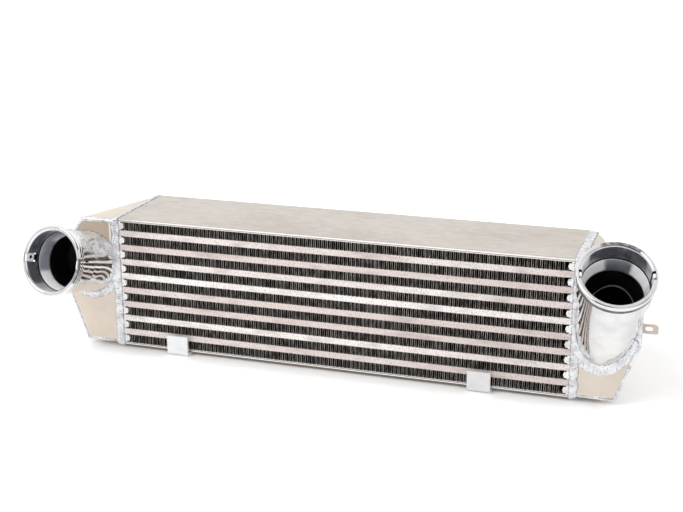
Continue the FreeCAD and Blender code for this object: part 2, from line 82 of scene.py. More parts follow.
CORE_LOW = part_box("bottom_plate")[0]
CORE_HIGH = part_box("top_plate")[1]
CORE_MIDDLE = (CORE_LOW + CORE_HIGH) / 2
FLOOR_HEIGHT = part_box("left_bracket")[0].z
ROW_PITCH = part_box("charge_tube_1")[0].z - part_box("charge_tube_2")[0].z
ROW_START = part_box("charge_tube_8")[0].z - 1.0 * MM
TUBE_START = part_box("charge_tube_8")[0].z - ROW_PITCH
TUBE_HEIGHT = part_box("charge_tube_8")[1].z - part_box("charge_tube_8")[0].z
UP = Vector((0, 0, 1))

# The camera of the photograph, in the part's frame
CAMERA_PLACE = Vector((605.2, -1253.1, 535.2)) * MM
CAMERA_LENS = 67.32
CAMERA_YAW = 18.49
CAMERA_PITCH = 17.18
CAMERA_ROLL = -0.34

# Direction from the part to the dark front of the studio
STUDIO_FRONT = (0.29, -0.9, 0.32)


def linear(hex_colour):
    """Linear RGBA from an sRGB hex colour."""
    parts = [int(hex_colour[index:index + 2], 16) / 255 for index in (1, 3, 5)]
    return tuple(part / 12.92 if part <= 0.04045 else ((part + 0.055) / 1.055) ** 2.4
                 for part in parts) + (1.0,)


WHITE = linear("#FFFFFF")
BLACK = linear("#000000")


def colour_setting(name, description, hex_colour):
    """A colour that a user can change."""
    return bpy.props.FloatVectorProperty(name=name, description=description, subtype="COLOR", size=4,
                                         min=0.0, max=1.0, default=linear(hex_colour))


def length_setting(name, description, default):
    """A length that a user can change, with its default in millimetres."""
    return bpy.props.FloatProperty(name=name, description=description, unit="LENGTH", min=0.0,
                                   default=default * MM)


class CoolerSizes(bpy.types.PropertyGroup):
    """Sizes of what is added to the CAD model."""
    # Real foil is about 0.1 mm thick; it is drawn thicker, so that it shows
    fin_pitch: length_setting("Fin pitch", "Distance from one fin wall to the next", 2.25)
    fin_foil: length_setting("Fin foil", "Thickness of the folded foil", 0.34)
    fin_bend: length_setting("Fin bend", "Radius of the foil at its folds", 0.45)
    fin_lean: length_setting("Fin lean", "How far a fold strays along the core", 0.2)
    ripple_pitch: length_setting("Ripple pitch", "Distance between two ripples of a weld", 3.2)
    ripple_depth: length_setting("Ripple depth", "Height of a weld ripple", 0.7)
    top_bead: length_setting("Top bead", "Radius of the bead along a tank front's top", 3.0)
    edge_bead: length_setting("Edge bead", "Radius of the bead along a tank front's other edges", 2.1)
    edge_round: length_setting("Edge round", "Radius of the broken edges of turned pieces", 0.35)
    fold_round: length_setting("Fold round", "Radius of the folds of a tank", 1.6)


class CoolerColours(bpy.types.PropertyGroup):
    """Colours of the finishes."""
    # The foil colour is near-black: painted shade of the fins' depth, and of the notches by the end bars'
    # noses
    foil: colour_setting("Foil", "Foil deep between the bars", "#070606")
    foil_edge: colour_setting("Foil edge", "Front edge of the foil", "#E4DBD3")
    bar: colour_setting("Bar", "Brazed bars", "#FFFAF6")
    bar_warm: colour_setting("Bar, warm", "Bars that came out of the furnace darker", "#E6D9D4")
    bar_shade: colour_setting("Bar shade", "Grey specks on the bars", "#A89C98")
    plate: colour_setting("Plate", "Top and bottom plates", "#D6CFC7")
    plate_shade: colour_setting("Plate shade", "Darker clouds on the plates", "#C4B9AE")
    # The seam colour also paints shade: the painted shadow at a plate's foot, and the painted shade in the
    # bars' joint lines at the core's ends
    seam_and_shadow: colour_setting("Plate seam", "Line where a plate meets its sheet", "#6E6A66")
    tank: colour_setting("Tank", "Sheet of the tanks", "#EFE3D6")
    tank_shade: colour_setting("Tank shade", "Darker clouds on the sheet", "#D6C8B9")
    # The tank's browner colour above a pipe is a painted dark reflection
    tank_dark_reflection: colour_setting("Tank stain", "Sheet browned above a pipe", "#BBA896")
    weld: colour_setting("Weld", "Crown of a weld ripple", "#F7F7FA")
    weld_cool: colour_setting("Weld, cool", "Weld metal with a cool cast", "#DDDFE4")
    # This grey is painted shade in a weld's creases and toes, and the colour of real marks on the polish,
    # the lip and the catch
    weld_shade_and_marks: colour_setting("Weld shade", "Crease between two ripples", "#8C8E94")
    polish: colour_setting("Polish", "Polished tube and collar", "#F7F7F7")
    seat: colour_setting("Seat", "Dark parts of a collar's seat", "#F0F2FA")
    lip: colour_setting("Lip", "Faced front of a collar", "#E2E2E0")
    throat: colour_setting("Throat", "Dark parts of a collar's throat", "#E4E6EE")
    # This grey paints shade in the grooves, and dark reflections on the collars' rings, bevels, lips and
    # bores
    groove: colour_setting("Groove", "Grooves outside the collars", "#5E5C5C")
    # The bore's near-black is painted shade inside the pipes, tanks, slots and holes
    bore: colour_setting("Bore", "Inside of the pipes and tanks", "#2C2A2A")
    strip: colour_setting("Strip", "Bracket strip", "#F4F5F7")
    floor: colour_setting("Floor", "Floor under the part", "#F6F6F6")


# Nodes of materials and geometry
MATH, RANGE, MIX, BUMP = "ShaderNodeMath", "ShaderNodeMapRange", "ShaderNodeMix", "ShaderNodeBump"


def feed(tree, socket, value):
    """Give an input a value, another node's output, or the first open output of a node."""
    if isinstance(value, bpy.types.Node):
        value = next(output for output in value.outputs if output.enabled)
    if isinstance(value, bpy.types.NodeSocket):
        tree.links.new(value, socket)
    else:
        socket.default_value = value


def add(tree, kind, links=(), **settings):
    """Add a node with its settings and feed its inputs: named ones, or a list in the open ones' order."""
    made = tree.nodes.new(kind)
    for name, value in settings.items():
        setattr(made, name, value)
    if isinstance(links, dict):
        pairs = [(made.inputs[key], value) for key, value in links.items()]
    else:
        pairs = zip([socket for socket in made.inputs if socket.enabled], links)
    for socket, value in pairs:
        feed(tree, socket, value)
    return made


def new_material(name, **surface):
    """A material with a Principled surface; returns the material, its tree and its shader."""
    material = bpy.data.materials.new(name)
    material.use_nodes = True
    tree = material.node_tree
    shader = tree.nodes["Principled BSDF"]
    for key, value in surface.items():
        shader.inputs[key.replace("_", " ")].default_value = value
    return material, tree, shader


# The finest grains, on the bars, the blasted sheet and the turned metal, are really about 0.1 mm wide. They
# are drawn at 0.6 to 1.1 mm, so that they show
def speckle(tree, grain, stretch=(1, 1, 1), detail=3.0):
    """Noise on Object coordinates with a grain in millimetres, finer along an axis that is stretched."""
    place = add(tree, "ShaderNodeTexCoord").outputs["Object"]
    turned = add(tree, "ShaderNodeMapping", {"Vector": place, "Scale": stretch})
    return add(tree, "ShaderNodeTexNoise", {"Vector": turned, "Scale": 1 / (grain * MM), "Detail": detail,
                                            "Roughness": 0.6})


def object_axis(tree, axis):
    """One of a surface point's Object coordinates, in metres."""
    place = add(tree, "ShaderNodeTexCoord").outputs["Object"]
    return add(tree, "ShaderNodeSeparateXYZ", {"Vector": place}).outputs[axis]


def from_middle(tree, axis):
    """How far a surface point lies from the core's middle along one axis, in metres."""
    shift = add(tree, MATH, [object_axis(tree, axis), CORE_MIDDLE["XYZ".index(axis)]], operation="SUBTRACT")
    return add(tree, MATH, [shift], operation="ABSOLUTE")


def facing(tree, axis):
    """How far a surface faces along one axis of the part."""
    normal = add(tree, "ShaderNodeNewGeometry").outputs["Normal"]
    return add(tree, "ShaderNodeSeparateXYZ", {"Vector": normal}).outputs[axis]


def foil_material(colours):
    """Rolled aluminium foil, matt with flux: its depth is painted near-black as shade, grey where its edge
    is cut.
    """
    material, tree, shader = new_material("rolled_foil", Metallic=0.3, Roughness=0.6,
                                          Specular_IOR_Level=0.12)
    half = (CORE_HIGH.y - CORE_LOW.y) / 2
    edge = add(tree, RANGE, [from_middle(tree, "Y"), half - 0.55 * MM, half - 0.05 * MM])
    uneven = add(tree, RANGE, [speckle(tree, 3.448, (1, 0.1, 0.3)), 0.38, 0.62, 0.2, 0.8])
    brighter = add(tree, RANGE, [object_axis(tree, "X"), CORE_LOW.x, CORE_HIGH.x, 0.75, 1.15])
    edge = add(tree, MATH, [edge, add(tree, MATH, [uneven, brighter], operation="MULTIPLY")],
               operation="MULTIPLY")
    feed(tree, shader.inputs["Base Color"],
         add(tree, MIX, [edge, colours.foil, colours.foil_edge], data_type="RGBA"))
    return material


def bar_material(colours):
    """Drawn aluminium bar after brazing: matte and almost white, with fine grey specks."""
    material, tree, shader = new_material("brazed_bar", Metallic=0.25, Roughness=0.42)
    height = object_axis(tree, "Z")
    row = add(tree, MATH, [add(tree, MATH, [height, ROW_START], operation="SUBTRACT"), ROW_PITCH],
              operation="DIVIDE")
    row = add(tree, MATH, [row], operation="FLOOR")
    chance = add(tree, "ShaderNodeTexWhiteNoise", {"W": row}, noise_dimensions="1D")
    drift = add(tree, RANGE, [speckle(tree, 142.86, (0.6, 1, 1)), 0.35, 0.65, -0.35, 0.35])
    warm = add(tree, RANGE, [add(tree, MATH, [chance, drift], operation="ADD"), 0.25, 0.8])
    tone = add(tree, MIX, [warm, colours.bar, colours.bar_warm], data_type="RGBA")
    greyer = add(tree, RANGE, [object_axis(tree, "X"), CORE_MIDDLE.x, CORE_HIGH.x, 0.0, 0.2])
    tone = add(tree, MIX, [greyer, tone, colours.bar_shade], data_type="RGBA")
    clouds = add(tree, RANGE, [speckle(tree, 16.667, (0.5, 1, 1.6)), 0.48, 0.72, 0.0, 0.55])
    specks = add(tree, RANGE, [speckle(tree, 1.4286, detail=2.0), 0.53, 0.68, 0.0, 0.95])
    along = from_middle(tree, "X")
    half = (CORE_HIGH.x - CORE_LOW.x) / 2
    at_end = add(tree, RANGE, [along, half - 8.0 * MM, half - 6.5 * MM])
    # Height above the foot of the tube below
    climb = add(tree, MATH, [add(tree, MATH, [height, TUBE_START], operation="SUBTRACT"), ROW_PITCH],
                operation="MODULO")
    between = add(tree, RANGE, [climb, TUBE_HEIGHT - 0.1 * MM, TUBE_HEIGHT + 0.1 * MM])
    end_bar = add(tree, MATH, [at_end, between], operation="MULTIPLY")
    tone = add(tree, MIX, [end_bar, tone, WHITE], data_type="RGBA")
    # Dark lines where a bar meets its sheets. They are stronger at the core's ends, where the extra
    # darkness is painted shade of the gaps by the end bars
    from_low = add(tree, RANGE, [climb, 0.55 * MM, 0.25 * MM])
    over = add(tree, MATH, [add(tree, MATH, [climb, TUBE_HEIGHT], operation="SUBTRACT")],
               operation="ABSOLUTE")
    from_high = add(tree, RANGE, [over, 0.5 * MM, 0.2 * MM])
    level = add(tree, MATH, [add(tree, MATH, [at_end, 0.7], operation="MULTIPLY"), 0.12], operation="ADD")
    joint_and_shade = add(tree, MATH, [add(tree, MATH, [from_low, from_high], operation="MAXIMUM"), level],
                operation="MULTIPLY")
    stains = add(tree, MATH, [clouds, specks], operation="MAXIMUM")
    greyed = add(tree, MIX, [stains, tone, colours.bar_shade], data_type="RGBA")
    lined = add(tree, MIX, [joint_and_shade, greyed, colours.seam_and_shadow], data_type="RGBA")
    # Painted shade in the notches above and below the nose of an end bar
    air_half = (ROW_PITCH - TUBE_HEIGHT) / 2
    aside = add(tree, MATH, [add(tree, MATH, [climb, (ROW_PITCH + TUBE_HEIGHT) / 2], operation="SUBTRACT")],
                operation="ABSOLUTE")
    air = add(tree, RANGE, [aside, air_half - 1.7 * MM, air_half - 1.2 * MM])
    nose = add(tree, RANGE, [along, half - 3.2 * MM, half - 3.9 * MM])
    painted_notch_shade = add(tree, MATH, [add(tree, MATH, [air, nose], operation="MULTIPLY"), between],
                operation="MULTIPLY")
    feed(tree, shader.inputs["Base Color"], add(tree, MIX, [painted_notch_shade, lined, colours.foil], data_type="RGBA"))
    feed(tree, shader.inputs["Normal"],
         add(tree, BUMP, {"Height": speckle(tree, 0.7143), "Strength": 0.25, "Distance": 0.1 * MM}))
    return material


def plate_material(colours):
    """Rolled aluminium plate: satin, with soft clouds and faint rolling lines along the core."""
    material, tree, shader = new_material("rolled_plate", Metallic=0.55, Roughness=0.36)
    clouds = add(tree, RANGE, [speckle(tree, 111.11, (0.6, 1, 1)), 0.35, 0.65])
    lines = add(tree, RANGE, [speckle(tree, 16.667, (0.05, 6, 1)), 0.4, 0.65, 0.0, 0.35])
    fine = add(tree, RANGE, [speckle(tree, 6.25, (0.5, 1, 1)), 0.35, 0.7, -0.3, 0.45])
    shade = add(tree, MATH, [add(tree, MATH, [clouds, lines], operation="MAXIMUM"), fine], operation="ADD")
    tone = add(tree, MIX, [shade, colours.plate, colours.plate_shade], data_type="RGBA")
    height = from_middle(tree, "Z")
    half = (CORE_HIGH.z - CORE_LOW.z) / 2
    upright = add(tree, RANGE, [add(tree, MATH, [facing(tree, "Z")], operation="ABSOLUTE"), 0.9, 0.3])
    pale = add(tree, MIX, [upright, tone, colours.bar], data_type="RGBA")
    # Dark lines along an upright face: where the plate meets its sheet, and along its outer edges. The line
    # at its foot is a painted shadow of the gap under the plate
    seam = add(tree, MATH, [add(tree, MATH, [height, half - 2.5 * MM], operation="SUBTRACT")],
               operation="ABSOLUTE")
    seam = add(tree, RANGE, [seam, 0.45 * MM, 0.25 * MM])
    edge = add(tree, RANGE, [height, half - 0.5 * MM, half - 0.1 * MM])
    foot = add(tree, RANGE, [object_axis(tree, "Z"), CORE_LOW.z + 1.3 * MM, CORE_LOW.z + 0.9 * MM])
    line = add(tree, MATH, [seam, add(tree, MATH, [edge, foot], operation="MAXIMUM")], operation="MAXIMUM")
    line = add(tree, MATH, [line, upright], operation="MULTIPLY")
    feed(tree, shader.inputs["Base Color"],
         add(tree, MIX, [line, pale, colours.seam_and_shadow], data_type="RGBA"))
    feed(tree, shader.inputs["Normal"],
         add(tree, BUMP, {"Height": speckle(tree, 3.333, (0.1, 4, 1)), "Strength": 0.08,
                          "Distance": 0.1 * MM}))
    return material


# Heights between which a tank's front is painted browner, a painted dark reflection, and the distance of
# its pale line, a painted highlight, from the core's end
DARK_REFLECTION_HEIGHTS = (108 * MM, 132 * MM)
TOE_HIGHLIGHT_REACH = 10.4 * MM


def tank_material(colours):
    """Folded aluminium sheet, blasted: even fine matte with a warm cast. It is browner above a pipe as a
    painted dark reflection, and greyer towards the right as painted shade.
    """
    material, tree, shader = new_material("blasted_sheet", Metallic=0.3, Roughness=0.45)
    clouds = add(tree, RANGE, [speckle(tree, 45.455), 0.35, 0.75, 0.0, 0.7])
    tone = add(tree, MIX, [clouds, colours.tank, colours.tank_shade], data_type="RGBA")
    # Painted shade: the sheet turns greyer towards the right tank
    greyer = add(tree, RANGE, [object_axis(tree, "X"), CORE_LOW.x, CORE_HIGH.x, 0.0, 0.35])
    tone = add(tree, MIX, [greyer, tone, colours.plate_shade], data_type="RGBA")
    # Painted dark reflection: a front face turns browner high up
    front = add(tree, RANGE, [facing(tree, "Y"), -0.7, -0.95])
    high = add(tree, RANGE, [object_axis(tree, "Z"), *DARK_REFLECTION_HEIGHTS, 0.0, 0.9])
    dark_reflection = add(tree, MATH, [front, high], operation="MULTIPLY")
    tone = add(tree, MIX, [dark_reflection, tone, colours.tank_dark_reflection], data_type="RGBA")
    # Painted highlight: a pale upright line above a pipe, beside the toe of the core's weld
    along = from_middle(tree, "X")
    middle = (CORE_HIGH.x - CORE_LOW.x) / 2 + TOE_HIGHLIGHT_REACH
    seam = add(tree, MATH, [add(tree, MATH, [along, middle], operation="SUBTRACT")], operation="ABSOLUTE")
    seam = add(tree, RANGE, [seam, 1.2 * MM, 0.8 * MM])
    seam = add(tree, MATH, [seam, dark_reflection], operation="MULTIPLY")
    tone = add(tree, MIX, [seam, tone, colours.strip], data_type="RGBA")
    feed(tree, shader.inputs["Base Color"], tone)
    feed(tree, shader.inputs["Normal"],
         add(tree, BUMP, {"Height": speckle(tree, 0.625), "Strength": 0.2, "Distance": 0.08 * MM}))
    return material


def weld_material(colours):
    """TIG weld metal: bright silver ripples with a cool cast in places. The grey in the creases, hollows
    and toes is painted shade.
    """
    material, tree, shader = new_material("tig_weld", Metallic=0.75, Roughness=0.32)
    height = add(tree, "ShaderNodeAttribute", attribute_name="crown").outputs["Fac"]
    cast = add(tree, RANGE, [speckle(tree, 9.091), 0.42, 0.62])
    crown = add(tree, MIX, [cast, colours.weld, colours.weld_cool], data_type="RGBA")
    marks = add(tree, RANGE, [speckle(tree, 4.348, detail=2.0), 0.36, 0.6, -0.2, 0.2])
    lit = add(tree, RANGE, [add(tree, MATH, [height, marks], operation="ADD"), 0.05, 0.6])
    feed(tree, shader.inputs["Base Color"],
         add(tree, MIX, [lit, colours.weld_shade_and_marks, crown], data_type="RGBA"))
    feed(tree, shader.inputs["Normal"],
         add(tree, BUMP, {"Height": speckle(tree, 2.0), "Strength": 0.3, "Distance": 0.2 * MM}))
    return material


def polish_material(colours):
    """Polished aluminium tube and turned collar: near mirror, satin where a weld was dressed."""
    material, tree, shader = new_material("polished_tube", Metallic=1.0, Roughness=0.07)
    dressed = add(tree, "ShaderNodeAttribute", attribute_name="dressed").outputs["Fac"]
    marks = add(tree, RANGE, [speckle(tree, 25.0), 0.45, 0.75, 0.0, 0.2])
    streaks = add(tree, RANGE, [speckle(tree, 4.1667, (1, 0.5, 1)), 0.48, 0.66, 0.0, 0.8])
    marks = add(tree, MATH, [marks, add(tree, MATH, [streaks, dressed], operation="MULTIPLY")],
                operation="ADD")
    feed(tree, shader.inputs["Base Color"],
         add(tree, MIX, [marks, colours.polish, colours.weld_shade_and_marks], data_type="RGBA"))
    brushed = add(tree, MATH, [speckle(tree, 4.1667, (1, 0.5, 1)), dressed], operation="MULTIPLY")
    feed(tree, shader.inputs["Normal"],
         add(tree, BUMP, {"Height": brushed, "Strength": 0.5, "Distance": 0.4 * MM}))
    clear = add(tree, RANGE, [speckle(tree, 11.111), 0.3, 0.7, 0.05, 0.13])
    satin = add(tree, MATH, [dressed, 0.3], operation="MULTIPLY")
    feed(tree, shader.inputs["Roughness"], add(tree, MATH, [clear, satin], operation="ADD"))
    feed(tree, shader.inputs["Metallic"], add(tree, RANGE, [dressed, 0.0, 1.0, 1.0, 0.4]))
    return material


def bored_material(name, roughness, shade, colours):
    """Bored inside of a collar: dark turned metal with painted reflections, pale arcs and dark ones."""
    material, tree, shader = new_material(name, Roughness=roughness)
    reflection_arc = add(tree, "ShaderNodeAttribute", attribute_name="reflection_arc").outputs["Fac"]
    marks = add(tree, RANGE, [speckle(tree, 11.111), 0.35, 0.75, -0.12, 0.12])
    # Painted reflections: pale arcs turn white and lose their metal, and dark arcs turn grey
    pale = add(tree, RANGE, [add(tree, MATH, [reflection_arc, marks], operation="ADD"), 0.0, 1.0])
    dark_arc = add(tree, RANGE, [reflection_arc, 0.0, -1.0])
    tone = add(tree, MIX, [pale, shade, WHITE], data_type="RGBA")
    tone = add(tree, MIX, [dark_arc, tone, colours.groove], data_type="RGBA")
    feed(tree, shader.inputs["Base Color"], tone)
    feed(tree, shader.inputs["Metallic"], add(tree, RANGE, [pale, 0.0, 1.0, 0.92, 0.0]))
    feed(tree, shader.inputs["Normal"],
         add(tree, BUMP, {"Height": speckle(tree, 0.8333), "Strength": 0.1, "Distance": 0.05 * MM}))
    return material


def seat_material(colours):
    """Seat of a collar: turned fine, so its dark parts still mirror."""
    return bored_material("turned_seat", 0.27, colours.seat, colours)


def throat_material(colours):
    """Throat of a collar: bored to a slope, softer than the seat."""
    return bored_material("satin_throat", 0.38, colours.throat, colours)


def lip_material(colours):
    """Faced front of a collar: satin, brighter than the polished sides."""
    material, tree, shader = new_material("faced_lip", Metallic=0.5, Roughness=0.3)
    marks = add(tree, RANGE, [speckle(tree, 9.091), 0.45, 0.75, 0.0, 0.2])
    # Painted reflection: dark streaky arcs on the lip, in the shade grey
    reflection_arc = add(tree, "ShaderNodeAttribute", attribute_name="reflection_arc").outputs["Fac"]
    streaks = add(tree, RANGE, [speckle(tree, 3.846), 0.4, 0.6, 0.45, 1.0])
    dark = add(tree, MATH, [add(tree, RANGE, [reflection_arc, 0.0, -1.0]), streaks], operation="MULTIPLY")
    tone = add(tree, MIX, [marks, colours.lip, colours.weld_shade_and_marks], data_type="RGBA")
    feed(tree, shader.inputs["Base Color"], add(tree, MIX, [dark, tone, colours.groove], data_type="RGBA"))
    feed(tree, shader.inputs["Normal"],
         add(tree, BUMP, {"Height": speckle(tree, 1.111), "Strength": 0.1, "Distance": 0.05 * MM}))
    return material


def shade_grey_material(colours):
    """Turned groove outside a collar, painted grey as shade. The same grey on a ring and on a lip's bevel
    is a painted dark reflection.
    """
    material, tree, shader = new_material("painted_shade_grey", Metallic=0.9, Roughness=0.35)
    marks = add(tree, RANGE, [speckle(tree, 8.333), 0.3, 0.7])
    feed(tree, shader.inputs["Base Color"],
         add(tree, MIX, [marks, colours.groove, colours.weld_shade_and_marks], data_type="RGBA"))
    return material


def catch_material(colours):
    """Catch of a spring clip: pale plated steel, bright even in the shade of the slot."""
    material, tree, shader = new_material("plated_catch", Metallic=0.0, Roughness=0.3)
    marks = add(tree, RANGE, [speckle(tree, 3.333), 0.45, 0.7, 0.0, 0.25])
    feed(tree, shader.inputs["Base Color"],
         add(tree, MIX, [marks, WHITE, colours.weld_shade_and_marks], data_type="RGBA"))
    return material


def bore_shade_material(colours):
    """Inside of a pipe or tank: raw drawn metal, matt, painted near-black as shade."""
    material, tree, shader = new_material("painted_bore_shade", Metallic=0.8, Roughness=0.45)
    streaks = add(tree, RANGE, [speckle(tree, 16.667, (1, 1, 0.3)), 0.35, 0.7, 0.0, 0.5])
    feed(tree, shader.inputs["Base Color"],
         add(tree, MIX, [streaks, colours.bore, BLACK], data_type="RGBA"))
    return material


def strip_material(colours):
    """Aluminium strip, satin and almost white."""
    material, tree, shader = new_material("satin_strip", Metallic=0.25, Roughness=0.38)
    # Painted shade: the strip turns greyer towards the right bracket
    greyed = add(tree, RANGE, [object_axis(tree, "X"), CORE_LOW.x, CORE_HIGH.x, 0.0, 0.3])
    marks = add(tree, RANGE, [speckle(tree, 8.333), 0.4, 0.8, 0.0, 0.2])
    marks = add(tree, MATH, [marks, greyed], operation="ADD")
    feed(tree, shader.inputs["Base Color"],
         add(tree, MIX, [marks, colours.strip, colours.bar_shade], data_type="RGBA"))
    feed(tree, shader.inputs["Normal"],
         add(tree, BUMP, {"Height": speckle(tree, 1.111), "Strength": 0.12, "Distance": 0.06 * MM}))
    return material


FINISHES = {
    "fin_foil": foil_material,
    "core_bar": bar_material,
    "side_plate": plate_material,
    "tank_sheet": tank_material,
    "weld_metal": weld_material,
    "drawn_tube": polish_material,
    "turned_collar": polish_material,
    "bracket_strip": strip_material,
}
made_finishes = {}


def finish_for(slot):
    """The material of a slot, or of a maker's own, made once."""
    maker = FINISHES.get(slot, slot)
    if maker not in made_finishes:
        made_finishes[maker] = maker(bpy.context.scene.cooler_colours)
    return made_finishes[maker]


# Meshes and pieces
def show_mesh(name, mesh):
    """An object at the origin that shows a mesh."""
    made = bpy.data.objects.new(name, mesh)
    bpy.context.scene.collection.objects.link(made)
    return made


def smooth(mesh, angle):
    """Shade a mesh smooth, but keep its edges sharp from an angle in degrees."""
    mesh.shade_smooth()
    mesh.set_sharp_from_angle(angle=math.radians(angle))


def new_object(name, points, faces, material, smooth_angle=None):
    """An object at the origin from points and faces."""
    mesh = bpy.data.meshes.new(name)
    mesh.from_pydata(points, [], faces)
    mesh.materials.append(material)
    made = show_mesh(name, mesh)
    if smooth_angle is not None:
        smooth(mesh, smooth_angle)
    return made


def tidy_mesh(made, merge=True):
    """Merge doubled points, unless told not to, and turn every face outwards."""
    mesh = bmesh.new()
    mesh.from_mesh(made.data)
    if merge:
        bmesh.ops.remove_doubles(mesh, verts=mesh.verts, dist=1e-6)
    bmesh.ops.recalc_face_normals(mesh, faces=mesh.faces)
    mesh.to_mesh(made.data)
    mesh.free()


def settle(made, slot, *replaced):
    """Give a piece its body, and hide the nodes it stands for."""
    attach(made, "root")
    if replaced:
        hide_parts(*replaced)
    return made


def apply_tree(made, tree, inputs):
    """Run a geometry tree on an object and keep its result as a plain mesh."""
    modifier = made.modifiers.new(tree.name, "NODES")
    modifier.node_group = tree
    for item in tree.interface.items_tree:
        if item.item_type == "SOCKET" and item.in_out == "INPUT" and item.name in inputs:
            modifier[item.identifier] = inputs[item.name]
    evaluated = made.evaluated_get(bpy.context.evaluated_depsgraph_get())
    mesh = bpy.data.meshes.new_from_object(evaluated)
    made.modifiers.remove(modifier)
    made.data = mesh
    return made


def geometry_tree(name, inputs):
    """A geometry tree with a Geometry input and output and the named inputs."""
    tree = bpy.data.node_groups.new(name, "GeometryNodeTree")
    tree.interface.new_socket("Geometry", in_out="INPUT", socket_type="NodeSocketGeometry")
    for label, kind in inputs:
        tree.interface.new_socket(label, in_out="INPUT", socket_type=kind)
    tree.interface.new_socket("Geometry", in_out="OUTPUT", socket_type="NodeSocketGeometry")
    given = add(tree, "NodeGroupInput")
    return tree, {item.name: item for item in given.outputs}


def end_tree(tree, geometry, material):
    """End a tree in realised geometry with its material."""
    real = add(tree, "GeometryNodeRealizeInstances", {0: geometry})
    dressed = add(tree, "GeometryNodeSetMaterial", {0: real, "Material": material})
    add(tree, "NodeGroupOutput", {0: dressed})


# Fins
def folded_fin_tree():
    """A strip of foil folded up and down between two bars, with uneven folds."""
    number, metres = "NodeSocketInt", "NodeSocketFloat"
    tree, given = geometry_tree("folded_fin", [
        ("Folds", number), ("Pitch", metres), ("Height", metres), ("Depth", metres), ("Foil", metres),
        ("Bend", metres), ("Lean", metres), ("Seed", number), ("Corner", "NodeSocketVector"),
        ("Material", "NodeSocketMaterial")])
    line = add(tree, "GeometryNodeCurvePrimitiveLine")
    points = add(tree, "GeometryNodeResampleCurve", {"Curve": line, "Count": given["Folds"]})
    index = add(tree, "GeometryNodeInputIndex")
    wall = add(tree, MATH, [add(tree, MATH, [index, 2.0], operation="DIVIDE")], operation="FLOOR")
    turn = add(tree, MATH, [add(tree, MATH, [index, 1.0], operation="ADD"), 4.0], operation="MODULO")
    top = add(tree, MATH, [turn, 1.5], operation="GREATER_THAN")
    stray = add(tree, "FunctionNodeRandomValue", {"ID": index, "Seed": given["Seed"]}, data_type="FLOAT")
    stray = add(tree, MATH, [add(tree, MATH, [stray, 0.5], operation="SUBTRACT"), given["Lean"]],
                operation="MULTIPLY")
    across = add(tree, MATH, [add(tree, MATH, [wall, given["Pitch"]], operation="MULTIPLY"), stray],
                 operation="ADD")
    rise = add(tree, MATH, [top, add(tree, MATH, [given["Height"], given["Foil"]], operation="SUBTRACT")],
               operation="MULTIPLY")
    place = add(tree, "ShaderNodeCombineXYZ", {"X": across, "Y": 0.0, "Z": rise})
    moved = add(tree, "ShaderNodeVectorMath", {0: place, 1: given["Corner"]}, operation="ADD")
    zigzag = add(tree, "GeometryNodeSetPosition", {0: points, "Position": moved})
    rounded = add(tree, "GeometryNodeFilletCurve", {"Curve": zigzag, "Radius": given["Bend"],
                                                    "Count": 2, "Limit Radius": True}, mode="POLY")
    edges = add(tree, "GeometryNodeCurveToMesh", {0: rounded})
    run = add(tree, "ShaderNodeCombineXYZ", {"Y": given["Depth"]})
    skin = add(tree, "GeometryNodeExtrudeMesh", {"Mesh": edges, "Offset": run,
                                                 "Offset Scale": 1.0}, mode="EDGES")
    wall_skin = add(tree, "GeometryNodeExtrudeMesh", {"Mesh": skin, "Individual": False,
                                                      "Offset Scale": given["Foil"]}, mode="FACES")
    back = add(tree, "GeometryNodeFlipFaces", {0: skin})
    joined = add(tree, "GeometryNodeJoinGeometry")
    for surface in (wall_skin, back):
        feed(tree, joined.inputs[0], surface)
    end_tree(tree, joined, given["Material"])
    return tree


class COOLER_OT_fins(bpy.types.Operator):
    """Fold the ambient fins between the bars"""
    bl_idname = "cooler.fins"
    bl_label = "Ambient fins"

    def execute(self, context):
        sizes = context.scene.cooler_sizes
        tree = folded_fin_tree()
        material = finish_for("fin_foil")
        pitch = sizes.fin_pitch
        for number, node in enumerate(FIN_NODES):
            low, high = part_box(node)
            walls = int((high.x - low.x) / pitch)
            spare = (high.x - low.x) - walls * pitch
            made = new_object(f"folded_foil_{node[-1]}", [], [], material)
            apply_tree(made, tree, {
                "Folds": 2 * walls, "Pitch": pitch, "Height": high.z - low.z, "Depth": high.y - low.y,
                "Foil": sizes.fin_foil, "Bend": sizes.fin_bend, "Lean": sizes.fin_lean,
                "Seed": number + 1, "Corner": (low.x + spare / 2, low.y, low.z), "Material": material})
            tidy_mesh(made)
            settle(made, "fin_foil", node)
        return {"FINISHED"}


class COOLER_OT_core(bpy.types.Operator):
    """Give the bars, plates and tubes of the core their finishes"""
    bl_idname = "cooler.core"
    bl_label = "Core finishes"

    def execute(self, context):
        slots = {part["node"]: part["material_slot"] for part in frame["record"]["subparts"]}
        for name, node in NODES.items():
            material = finish_for(slots[name])
            for slot in node.material_slots:
                slot.material = material
        return {"FINISHED"}


# Depth behind a collar's rim at which its seat, and so the mount's bore, starts
SEAT_START = 2.0 * MM


